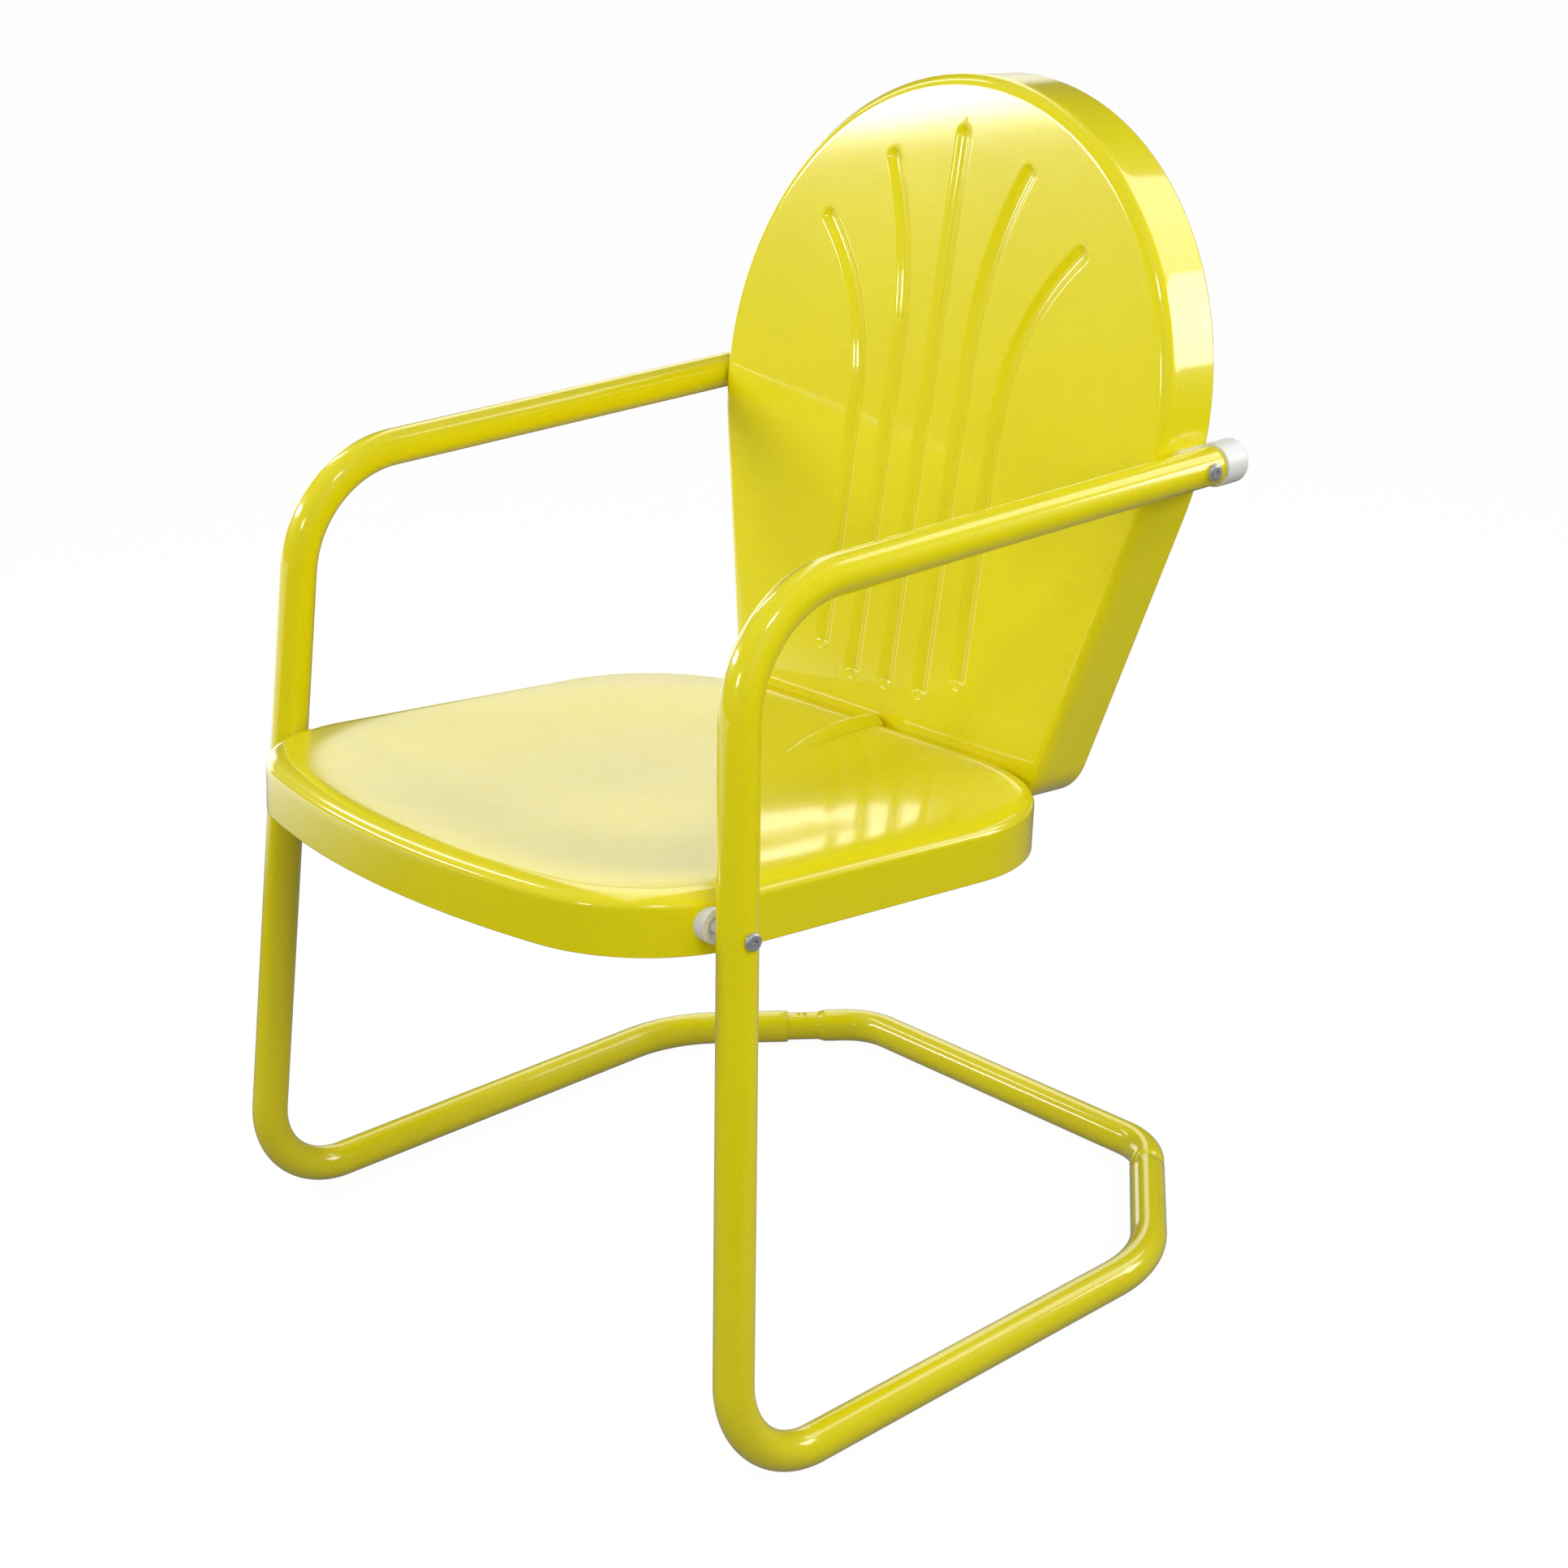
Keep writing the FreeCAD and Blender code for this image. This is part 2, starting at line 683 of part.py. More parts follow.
def seat_spacer():
    """Dished spacer between the leg and the seat's skirt: a round flange and a hub."""
    hub_radius = spacer_hub_diameter / 2.0
    hub_end = tube_surface(seat_screw_centre, leg_axis, -1.0, hub_radius)
    hub_end = hub_end - ACROSS * spacer_clearance
    level = seat_frame.inverse().multVec(seat_screw_centre).y
    wall = wall_reach(seat_outline(), level)
    face = Vector(wall + spacer_flange, hub_end.y, hub_end.z)
    inside = face - ACROSS * spacer_diameter
    spacer = cylinder_between(inside, face, spacer_diameter / 2.0)
    recess_floor = face - ACROSS * spacer_recess_depth
    spacer = spacer.cut(cylinder_between(recess_floor, face, spacer_recess_diameter / 2.0))
    spacer = spacer.fuse(cylinder_between(inside, hub_end, hub_radius))
    spacer = spacer.cut(cylinder_between(inside, hub_end, hole_radius))
    seat = Part.Face(seat_outline()).extrude(Vector(0, 0, -2.0 * seat_skirt))
    return spacer.cut(placed(seat, seat_frame))


# Export, with the origin on the floor below the middle of the whole chair

front_most = seat_frame.multVec(Vector(0, -seat_depth, -seat_skirt)).y
back_top = Vector(0, back_centre_rise + back_radius, 0)
rear_most = back_frame.multVec(back_top + rearward(back_flange)).y
origin_y = (front_most + rear_most) / 2.0


def export(name, shape):
    """Write one named piece."""
    shape = shape.copy()
    shape.translate(Vector(0, -origin_y, 0))
    volume = round(shape.Volume / 1000.0, 2)
    print(name, "valid", shape.isValid(), "solids", len(shape.Solids), "volume cm3", volume)
    shape.exportStep(os.path.join("parts", name + ".step"))


def both_sides(shape):
    """A piece and its mirror image as two separate solids."""
    return Part.makeCompound([shape, mirrored(shape)])


os.makedirs("parts", exist_ok=True)
export("side_tube_left", side_tube(left_joint))
export("side_tube_right", mirrored(side_tube(right_joint)))
export("rear_crossbar", rear_crossbar())
export("seat_pan", seat_pan())
export("back_pan", back_pan())
for name, shape in (("arm_cap", arm_cap()), ("seat_spacer", seat_spacer())):
    export(name + "_left", shape)
    export(name + "_right", mirrored(shape))
KINDS = ("screws", "washers", "nuts")
for place, pieces in (("arm", arm_fastener()), ("seat", seat_fastener())):
    for kind, piece in zip(KINDS, pieces):
        export(place + "_" + kind, both_sides(piece))
for kind, pieces in zip(KINDS, zip(*back_fasteners())):
    export("back_" + kind, Part.makeCompound(list(pieces)))
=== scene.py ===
"""Metal lawn chair with a round-topped pressed back, a dished seat and a bent tube frame.

Sizes are written in millimetres in the chair's own drawing frame: the floor is z = 0, the front
foot bends are at y = 0 and the sitter looks along -Y. Meshes are put into Blender in metres, moved
so that the origin is under the middle of the chair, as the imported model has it.
"""

import logging
import math
from dataclasses import dataclass, field
from enum import Enum

import bpy
import numpy as np
from mathutils import Matrix, Quaternion, Vector


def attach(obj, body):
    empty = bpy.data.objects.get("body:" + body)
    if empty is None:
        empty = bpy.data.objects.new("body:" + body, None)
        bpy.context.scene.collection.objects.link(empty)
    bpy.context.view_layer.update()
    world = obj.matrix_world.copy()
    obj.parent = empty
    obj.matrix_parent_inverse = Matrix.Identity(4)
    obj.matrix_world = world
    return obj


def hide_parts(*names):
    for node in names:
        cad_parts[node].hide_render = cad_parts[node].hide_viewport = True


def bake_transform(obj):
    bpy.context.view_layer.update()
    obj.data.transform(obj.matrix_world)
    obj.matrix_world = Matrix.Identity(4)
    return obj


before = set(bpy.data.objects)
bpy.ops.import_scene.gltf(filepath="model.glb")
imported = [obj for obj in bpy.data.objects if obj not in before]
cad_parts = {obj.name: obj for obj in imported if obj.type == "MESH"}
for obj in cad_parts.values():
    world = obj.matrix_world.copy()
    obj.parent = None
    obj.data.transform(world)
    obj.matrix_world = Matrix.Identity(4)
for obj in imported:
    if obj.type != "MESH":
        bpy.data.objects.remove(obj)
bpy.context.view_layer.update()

Array = np.ndarray
Piece = bpy.types.Object
Socket = bpy.types.NodeSocket
Value = float | tuple | Socket
LOG = logging.getLogger("lawn_chair")
MM = 0.001
NOISE_SPAN = (0.3, 0.7)
WALL_SHARES = np.append(np.linspace(0.0, 1.0, 7)[1:-1], [0.98, 1.0])
NOWHERE = -1e3


class Side(Enum):
    """The sitter's own side, as the sign of x."""

    LEFT = 1.0
    RIGHT = -1.0


class Slot(Enum):
    """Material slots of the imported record."""

    YELLOW = "yellow_coat"
    WHITE = "white_plastic"
    ZINC = "zinc"


class Body(Enum):
    """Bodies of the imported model."""

    BASE = "base"
    UPPER = "upper"


# Vector helpers

def unit(vectors: Array) -> Array:
    """Vectors divided by their own length, along the last axis."""
    return vectors / np.linalg.norm(vectors, axis=-1, keepdims=True)


def smooth_step(share: Array) -> Array:
    """3 t^2 - 2 t^3 of a share clipped to 0..1."""
    t = np.clip(share, 0.0, 1.0)
    return t * t * (3.0 - 2.0 * t)


@dataclass(frozen=True)
class TiltedFrame:
    """A drawing frame turned about X.

    Args:
        origin: where the frame's own origin lies, in mm.
        turn: turn about X, in degrees.
    """

    origin: tuple
    turn: float

    def axes(self) -> Array:
        """Rows are the frame's X, Y and Z directions."""
        c, s = math.cos(math.radians(self.turn)), math.sin(math.radians(self.turn))
        return np.array([[1.0, 0.0, 0.0], [0.0, c, s], [0.0, -s, c]])

    def place(self, points: Array) -> Array:
        """Points of the frame, N x 3 or one, as points of the chair."""
        return np.asarray(points, float) @ self.axes() + np.array(self.origin)


# Driving sizes that several pieces share

@dataclass(frozen=True)
class ChairSizes:
    """Sizes that fit the pieces together, in mm and degrees."""

    tube_radius: float = 14.3
    bore_radius: float = 12.5
    arm_height: float = 620.6
    sheet: float = 1.4
    edge_radius: float = 9.0
    seat_half_width: float = 247.0
    seat_depth: float = 481.0
    seat_skirt: float = 42.0
    seat_tilt: float = 5.5
    seat_rear_y: float = 429.9
    seat_rear_z: float = 387.0
    back_recline: float = 13.16
    back_radius: float = 242.0
    back_centre_rise: float = 258.0
    back_flange: float = 52.0
    back_flange_lean: float = 8.0
    crease_rise: float = 6.2
    arm_screw_depth: float = 29.0
    arm_past_screw: float = 29.5

    def seat_frame(self) -> TiltedFrame:
        """Frame of the seat: origin on the rear wall at rim level."""
        return TiltedFrame((0.0, self.seat_rear_y, self.seat_rear_z), -self.seat_tilt)

    def back_frame(self) -> TiltedFrame:
        """Frame of the back: origin on the bend above its lower strip."""
        start = self.seat_frame().place((0.0, 0.0, self.crease_rise))
        return TiltedFrame(tuple(start), 90.0 - self.back_recline)

    def flange_slope(self) -> float:
        """How far the back's flange climbs for each millimetre that it runs rearwards."""
        return math.tan(math.radians(self.back_flange_lean))

    def origin_y(self) -> float:
        """Middle of the chair from front to back.

        Returns:
            Its y in mm.
        """
        front = self.seat_frame().place((0.0, -self.seat_depth, -self.seat_skirt))
        top = self.back_centre_rise + self.back_radius + self.back_flange * self.flange_slope()
        rear = self.back_frame().place((0.0, top, -self.back_flange))
        return (front[1] + rear[1]) / 2.0


SIZES = ChairSizes()


# Mesh helpers

def grid_quads(rows: int, columns: int, wrap_rows: bool, wrap_columns: bool) -> Array:
    """Quads that join neighbouring points of a row-major grid.

    Args:
        rows: number of rows.
        columns: number of columns.
        wrap_rows: whether the last row joins the first.
        wrap_columns: whether the last column joins the first.

    Returns:
        N x 4 point numbers: (i, j), (i, j + 1), (i + 1, j + 1), (i + 1, j).
    """
    i = np.arange(rows if wrap_rows else rows - 1)
    j = np.arange(columns if wrap_columns else columns - 1)
    a, b = np.meshgrid(i, j, indexing="ij")
    c, d = (a + 1) % rows, (b + 1) % columns
    corners = [a * columns + b, a * columns + d, c * columns + d, c * columns + b]
    return np.stack(corners, axis=-1).reshape(-1, 4)


def signed_volume(points: Array, faces: list) -> float:
    """Sum of a . (b x c) / 6 over the faces' triangles: above 0 where faces point outwards.

    Args:
        points: N x 3 points.
        faces: arrays of point numbers, each with one row per face.

    Returns:
        The volume inside the faces.
    """
    total = 0.0
    for group in faces:
        for k in range(1, group.shape[1] - 1):
            a, b, c = points[group[:, 0]], points[group[:, k]], points[group[:, k + 1]]
            total += float(np.einsum("ij,ij->", a, np.cross(b, c))) / 6.0
    return total


def put_mesh(name: str, points: Array, faces: list, inside: Array | None = None) -> Piece:
    """Puts a surface into the scene, in metres, with smooth faces that point outwards.

    Args:
        name: the piece's name.
        points: N x 3 points in mm, in the drawing frame.
        faces: arrays of point numbers, each with one row per face.
        inside: a point that the surface stands round, or None for its middle.

    Returns:
        The new object, at the origin.
    """
    middle = points.mean(axis=0) if inside is None else np.asarray(inside, float)
    if signed_volume(points - middle, faces) < 0.0:
        faces = [group[:, ::-1] for group in faces]
    moved = (points - np.array([0.0, SIZES.origin_y(), 0.0])) * MM
    mesh = bpy.data.meshes.new(name)
    rows = [row for group in faces for row in group.tolist()]
    mesh.from_pydata(moved.tolist(), [], rows)
    mesh.polygons.foreach_set("use_smooth", np.ones(len(mesh.polygons), bool))
    mesh.update()
    piece = bpy.data.objects.new(name, mesh)
    bpy.context.scene.collection.objects.link(piece)
    return piece


# Finishes

class Graph:
    """A node tree being filled: most methods add a node and give its output socket."""

    def __init__(self, tree: bpy.types.NodeTree) -> None:
        """Keeps the tree's nodes and links."""
        self.nodes, self.links = tree.nodes, tree.links

    def add(self, kind: str, **values: Value) -> bpy.types.Node:
        """Adds a node and feeds its inputs.

        Args:
            kind: the node's type without ShaderNode in front.
            values: constants or sockets by input name, with _ for a space.

        Returns:
            The node.
        """
        node = self.nodes.new("ShaderNode" + kind)
        for name, value in values.items():
            self.feed(node.inputs[name.replace("_", " ")], value)
        return node

    def feed(self, socket: Socket, value: Value) -> None:
        """Sets an input socket to a constant or links it to an output socket.

        Args:
            socket: the input.
            value: a constant or an output socket.
        """
        if isinstance(value, Socket):
            self.links.new(value, socket)
        else:
            socket.default_value = value

    def noise(self, waves: float, octaves: float, roughness: float = 0.5) -> Socket:
        """Noise on Object coordinates.

        Args:
            waves: waves per metre.
            octaves: how many finer layers are added.
            roughness: how strong the finer layers are.

        Returns:
            The texture's value.
        """
        place = self.add("TexCoord").outputs["Object"]
        texture = self.add(
            "TexNoise", Vector=place, Scale=waves, Detail=octaves, Roughness=roughness
        )
        return texture.outputs["Fac"]

    def spread(
        self, source: Socket, low: float, high: float, span: tuple = NOISE_SPAN, smooth: bool = False
    ) -> Socket:
        """Map Range from a span of the source to the values wanted.

        Args:
            source: socket to read.
            low: value at the start of the span.
            high: value at its end.
            span: where the span starts and ends.
            smooth: whether the change eases in and out.

        Returns:
            The mapped value.
        """
        start, end = span
        node = self.add(
            "MapRange", Value=source, From_Min=start, From_Max=end, To_Min=low, To_Max=high
        )
        if smooth:
            node.interpolation_type = "SMOOTHSTEP"
        return node.outputs["Result"]

    def work(self, operation: str, *values: Value) -> Socket:
        """Math node on constants or sockets.

        Args:
            operation: name of the sum.
            values: what it works on, in order.

        Returns:
            The result.
        """
        node = self.add("Math")
        node.operation = operation
        for socket, value in zip(node.inputs, values):
            self.feed(socket, value)
        return node.outputs["Value"]

    def mix(self, share: Value, first: Value, second: Value) -> Socket:
        """Mix of two values, or of two colours where the first is a tuple.

        Args:
            share: how much of the second.
            first: a value, or a colour as a tuple of three.
            second: the same.

        Returns:
            The mix.
        """
        node = self.add("Mix")
        if isinstance(first, tuple):
            node.data_type = "RGBA"
            first, second = (*first, 1.0), (*second, 1.0)
        self.feed(node.inputs["Factor"], share)
        self.feed(node.inputs["A"], first)
        self.feed(node.inputs["B"], second)
        return node.outputs["Result"]

    def bump(self, height: Value, strength: float, distance: float) -> Socket:
        """Normal of a surface with small heights: distance is their size in metres."""
        node = self.add("Bump", Strength=strength, Distance=distance, Height=height)
        return node.outputs["Normal"]


@dataclass(frozen=True)
class Finish:
    """What every finish has: a cloudy colour, a varied roughness and a fine relief.

    Args:
        name: the material's name.
        first: colour at one end of the clouds.
        second: colour at the other end.
        cloud: waves per metre, octaves and roughness of the clouds.
        grain: the same of the fine grain, or empty where the clouds make the relief.
        gloss: roughness of the surface at both ends of the clouds.
        relief: strength of the fine relief.
        relief_height: size of the fine relief, in metres.
        ior: index of refraction.
        metal: how far it reflects as bare metal.
        depth: how much light goes below the surface.
    """

    name: str
    first: tuple
    second: tuple
    cloud: tuple
    grain: tuple
    gloss: tuple
    relief: float
    relief_height: float
    ior: float = 1.5
    metal: float = 0.0
    depth: float = 0.0

    def dress(self, graph: Graph, sockets: bpy.types.NodeInputs) -> None:
        """Feeds the shader: colour and roughness from the clouds, relief from the grain.

        Args:
            graph: the material's tree.
            sockets: the shader's inputs.
        """
        cloud = graph.noise(*self.cloud)
        share = graph.spread(cloud, 0.0, 1.0)
        graph.feed(sockets["Base Color"], graph.mix(share, self.first, self.second))
        graph.feed(sockets["Roughness"], graph.spread(cloud, *self.gloss))
        height = graph.noise(*self.grain) if self.grain else cloud
        graph.feed(sockets["Normal"], graph.bump(height, self.relief, self.relief_height))

    def make(self) -> bpy.types.Material:
        """Makes the material.

        Returns:
            The finish as a Blender material.
        """
        material = bpy.data.materials.new(self.name)
        material.use_nodes = True
        graph = Graph(material.node_tree)
        sockets = graph.nodes["Principled BSDF"].inputs
        sockets["IOR"].default_value = self.ior
        sockets["Metallic"].default_value = self.metal
        sockets["Subsurface Weight"].default_value = self.depth
        self.dress(graph, sockets)
        return material


@dataclass(frozen=True)
class PowderCoat(Finish):
    """Yellow powder coat: a slightly speckled colour under a clear, faintly rippled gloss.

    Args:
        grain_share: the speckles' share of the shift between the two colours.
        haze: waves per metre and octaves of the dull patches.
        under_gloss: strength of the reflection under the clear surface.
        clear_roughness: roughness of the clear surface.
        peel: waves per metre and octaves of the ripples.
    """

    name: str = "yellow powder coat"
    first: tuple = (0.765, 0.660, 0.001)
    second: tuple = (0.870, 0.770, 0.003)
    cloud: tuple = (9.0, 4.0)
    grain: tuple = (750.0, 2.0)
    gloss: tuple = (0.30, 0.38)
    relief: float = 1.0
    relief_height: float = 0.000005
    grain_share: float = 0.65
    haze: tuple = (60.0, 3.0)
    under_gloss: float = 0.22
    clear_roughness: float = 0.09
    peel: tuple = (340.0, 2.0)

    def dress(self, graph: Graph, sockets: bpy.types.NodeInputs) -> None:
        """Feeds the shader: colour from clouds and speckles, ripples in both layers.

        Args:
            graph: the material's tree.
            sockets: the shader's inputs.
        """
        broad = graph.spread(graph.noise(*self.cloud), 0.0, 1.0 - self.grain_share)
        fine = graph.spread(graph.noise(*self.grain), 0.0, self.grain_share)
        share = graph.work("ADD", broad, fine)
        graph.feed(sockets["Base Color"], graph.mix(share, self.first, self.second))
        graph.feed(sockets["Roughness"], graph.spread(graph.noise(*self.haze), *self.gloss))
        sockets["Specular IOR Level"].default_value = self.under_gloss
        sockets["Coat Weight"].default_value = 1.0
        sockets["Coat IOR"].default_value = self.ior
        sockets["Coat Roughness"].default_value = self.clear_roughness
        ripples = graph.bump(graph.noise(*self.peel), self.relief, self.relief_height)
        graph.feed(sockets["Normal"], ripples)
        graph.feed(sockets["Coat Normal"], ripples)


@dataclass(frozen=True)
class MouldedPlastic(Finish):
    """White moulded plastic with a faint satin grain."""

    name: str = "white moulded plastic"
    first: tuple = (0.80, 0.80, 0.77)
    second: tuple = (0.86, 0.86, 0.84)
    cloud: tuple = (45.0, 3.0)
    grain: tuple = (1500.0, 2.0)
    gloss: tuple = (0.28, 0.40)
    relief: float = 0.25
    relief_height: float = 0.00002
    ior: float = 1.49
    depth: float = 0.05


@dataclass(frozen=True)
class ZincPlate(Finish):
    """Bright zinc plating with fine blotches, smoother where they are bright."""

    name: str = "bright zinc plate"
    first: tuple = (0.50, 0.51, 0.53)
    second: tuple = (0.74, 0.75, 0.77)
    cloud: tuple = (350.0, 5.0, 0.6)
    grain: tuple = ()
    gloss: tuple = (0.48, 0.34)
    relief: float = 0.3
    relief_height: float = 0.00003
    metal: float = 0.72


class Palette:
    """The three finishes, made once."""

    def __init__(self) -> None:
        """Makes the materials."""
        self.by_slot = {
            Slot.YELLOW: PowderCoat().make(),
            Slot.WHITE: MouldedPlastic().make(),
            Slot.ZINC: ZincPlate().make(),
        }

    def dress(self, piece: Piece, slot: Slot) -> None:
        """Gives a new piece the finish of its slot.

        Args:
            piece: the new piece.
            slot: its slot.
        """
        piece.data.materials.clear()
        piece.data.materials.append(self.by_slot[slot])


# Tubes

@dataclass
class TubePath:
    """Points along the middle of a bent tube with the direction at each.

    Args:
        centres: N x 3 points in mm.
        tangents: N x 3 unit directions.
    """

    centres: Array
    tangents: Array


def rounded_path(points: Array, radii: list, step: float, turn: float) -> TubePath:
    """Straight runs joined by tangent arcs.

    Each corner is rounded by an arc of its radius: setback = radius * tan(half the turn), and the
    arc's points are centre + radius * (cos a * to corner + sin a * along).

    Args:
        points: ends and corners, in mm.
        radii: one bend radius for each inner point.
        step: longest step on a straight run, in mm.
        turn: largest turn between two points of an arc, in degrees.

    Returns:
        The path.
    """
    centres, tangents = [], []
    start = points[0]
    for k, radius in enumerate(radii, start=1):
        before, after = unit(points[k] - points[k - 1]), unit(points[k + 1] - points[k])
        bend = math.acos(float(np.clip(before @ after, -1.0, 1.0)))
        setback = radius * math.tan(bend / 2.0)
        first, normal = points[k] - before * setback, unit(after - before * (before @ after))
        run = np.linalg.norm(first - start)
        share = np.linspace(0.0, 1.0, max(2, math.ceil(run / step)), endpoint=False)[:, None]
        centres.append(start + (first - start) * share)
        tangents.append(np.repeat(before[None], len(share), axis=0))
        count = max(3, math.ceil(math.degrees(bend) / turn))
        a = np.linspace(0.0, bend, count + 1)[:-1, None]
        middle = first + normal * radius
        centres.append(middle - radius * np.cos(a) * normal + radius * np.sin(a) * before)
        tangents.append(np.cos(a) * before + np.sin(a) * normal)
        start = points[k] + after * setback
    run = np.linalg.norm(points[-1] - start)
    share = np.linspace(0.0, 1.0, max(2, math.ceil(run / step)) + 1)[:, None]
    centres.append(start + (points[-1] - start) * share)
    tangents.append(np.repeat(unit(points[-1] - start)[None], len(share), axis=0))
    return TubePath(np.vstack(centres), np.vstack(tangents))


def round_skin(path: TubePath, radii: Array, reference: Array, sides: int) -> Array:
    """Rings round a path: centre + radius * (cos a * n + sin a * b), with n = tangent x reference.

    Args:
        path: the path.
        radii: radius at each point.
        reference: a direction that no tangent is parallel to.
        sides: points in a ring.

    Returns:
        rings x sides x 3 points.
    """
    n = unit(np.cross(path.tangents, reference))
    b = np.cross(path.tangents, n)
    a = np.linspace(0.0, 2.0 * math.pi, sides, endpoint=False)[None, :, None]
    around = np.cos(a) * n[:, None, :] + np.sin(a) * b[:, None, :]
    return path.centres[:, None, :] + radii[:, None, None] * around


@dataclass
class TubeFrame:
    """The two side tubes and the crossbar.

    The meshes give the longest straight step in mm and the largest turn in degrees, first of the
    outer wall and then of the inner wall. lip is the rounding at the mouths, with its middle point
    at lip_middle of it. on_axis is how near to a joint's axis a point belongs to the joint, in mm.
    """

    arm_front: tuple = (255.3, 77.0)
    arm_rear_x: float = 258.5
    foot: tuple = (298.0, 0.0)
    runner_rear: tuple = (293.4, 428.4)
    crossbar_corner: tuple = (169.4, 562.8)
    arm_bend: float = 92.0
    foot_bend: float = 67.0
    runner_bend: float = 110.0
    crossbar_bend: float = 56.0
    joint_straight: dict = field(default_factory=lambda: {Side.LEFT: 3.0, Side.RIGHT: 15.0})
    swage_shown: dict = field(default_factory=lambda: {Side.LEFT: 1.5, Side.RIGHT: 27.0})
    swage_taper: float = 8.0
    swage_insert: float = 42.0
    swage_radius: float = 12.45
    wall: float = 1.8
    dimple_radius: float = 5.0
    dimple_depth: float = 1.0
    dimple_press: float = 1.4
    sides: int = 56
    lip: float = 0.5
    lip_middle: float = 0.3
    on_axis: float = 1.0
    side_mesh: tuple = ((12.0, 2.5), (24.0, 6.0))
    bar_mesh: tuple = ((1.0, 2.5), (6.0, 6.0))

    def at_floor(self, place: tuple, side: Side) -> Array:
        """A point of the centre line at floor level, on one side."""
        return np.array([place[0] * side.value, place[1], SIZES.tube_radius])

    def arm_rear_y(self) -> float:
        """Where the arm ends: a set distance past the plane of the arm screw.

        Returns:
            Its y in mm.
        """
        back = SIZES.back_frame()
        point = back.place((0.0, 0.0, -SIZES.arm_screw_depth))
        forward = back.axes()[2]
        rise = SIZES.arm_height - point[2]
        return point[1] - rise * forward[2] / forward[1] + SIZES.arm_past_screw

    def joint_points(self, side: Side) -> dict:
        """Places along one slip joint: end of the full tube, neck, mouth and inner tip.

        Args:
            side: which joint.

        Returns:
            Points by name.
        """
        corner = self.at_floor(self.crossbar_corner, side)
        runner = self.at_floor(self.runner_rear, side)
        outward = unit(runner - corner)
        bend = math.acos(abs(float(outward[0])))
        start = self.crossbar_bend * math.tan(bend / 2.0)
        full = start + self.joint_straight[side]
        neck = full + self.swage_taper
        mouth = neck + self.swage_shown[side]
        tip = mouth + self.swage_insert
        places = {"full": full, "neck": neck, "mouth": mouth, "tip": tip}
        return {name: corner + outward * reach for name, reach in places.items()}

    def hollow(self, name: str, outer: Array, inner: Array) -> Piece:
        """A tube with both walls: outer rings forward, inner rings back, joined at both mouths.

        Args:
            name: the piece's name.
            outer: rings of the outer wall.
            inner: rings of the inner wall.

        Returns:
            The new piece.
        """
        grid = np.concatenate([outer, inner[::-1]])
        faces = [grid_quads(*grid.shape[:2], True, True)]
        return put_mesh(name, grid.reshape(-1, 3), faces)

    def lipped(self, path: TubePath, radii: Array, inwards: float) -> tuple:
        """The path and radii with a small rounding added at both mouths.

        Args:
            path: the tube's path.
            radii: radius at each point.
            inwards: 1 on the outer wall and -1 on the inner wall.

        Returns:
            (path, radii).
        """
        drop = self.lip * np.array([0.0, self.lip_middle, 1.0])
        turn = drop[::-1]
        head, tail = path.tangents[0], path.tangents[-1]
        first = path.centres[0] + head * drop[:, None]
        last = path.centres[-1] - tail * turn[:, None]
        centres = np.vstack([first, path.centres[1:-1], last])
        heads, tails = np.repeat(head[None], 3, axis=0), np.repeat(tail[None], 3, axis=0)
        tangents = np.vstack([heads, path.tangents[1:-1], tails])
        start = radii[0] - inwards * turn
        end = radii[-1] - inwards * drop
        return TubePath(centres, tangents), np.concatenate([start, radii[1:-1], end])

    def side_tube(self, side: Side) -> Piece:
        """One side tube: arm, front leg, runner and rear corner.

        Args:
            side: which one.

        Returns:
            The new piece.
        """
        s = side.value
        arm_end = np.array([self.arm_rear_x * s, self.arm_rear_y(), SIZES.arm_height])
        arm_corner = np.array([self.arm_front[0] * s, self.arm_front[1], SIZES.arm_height])
        points = np.array([
            arm_end,
            arm_corner,
            self.at_floor(self.foot, side),
            self.at_floor(self.runner_rear, side),
            self.joint_points(side)["mouth"],
        ])
        bends = [self.arm_bend, self.foot_bend, self.runner_bend]
        reference = np.array([1.0, 0.0, 0.0])
        skins = []
        walls = ((SIZES.tube_radius, 1.0), (SIZES.bore_radius, -1.0))
        for (radius, inwards), steps in zip(walls, self.side_mesh):
            path = rounded_path(points, bends, *steps)
            path, radii = self.lipped(path, np.full(len(path.centres), radius), inwards)
            skins.append(round_skin(path, radii, reference, self.sides))
        return self.hollow("visual_side_tube_" + side.name.lower(), *skins)

    def crossbar(self) -> Piece:
        """Crossbar with narrowed ends and a round dimple on the end that shows.

        Returns:
            The new piece.
        """
        left, right = self.joint_points(Side.LEFT), self.joint_points(Side.RIGHT)
        points = np.array([
            left["tip"],
            self.at_floor(self.crossbar_corner, Side.LEFT),
            self.at_floor(self.crossbar_corner, Side.RIGHT),
            right["tip"],
        ])
        reference = np.array([0.0, 0.0, 1.0])
        skins = []
        for (wall, inwards), steps in zip(((0.0, 1.0), (self.wall, -1.0)), self.bar_mesh):
            path = rounded_path(points, [self.crossbar_bend] * 2, *steps)
            radii = self.crossbar_radii(path, left, right) - wall
            path, radii = self.lipped(path, radii, inwards)
            rings = round_skin(path, radii, reference, self.sides)
            if inwards > 0.0:
                rings = self.dimpled(rings, path, right)
            skins.append(rings)
        return self.hollow("visual_rear_crossbar", *skins)

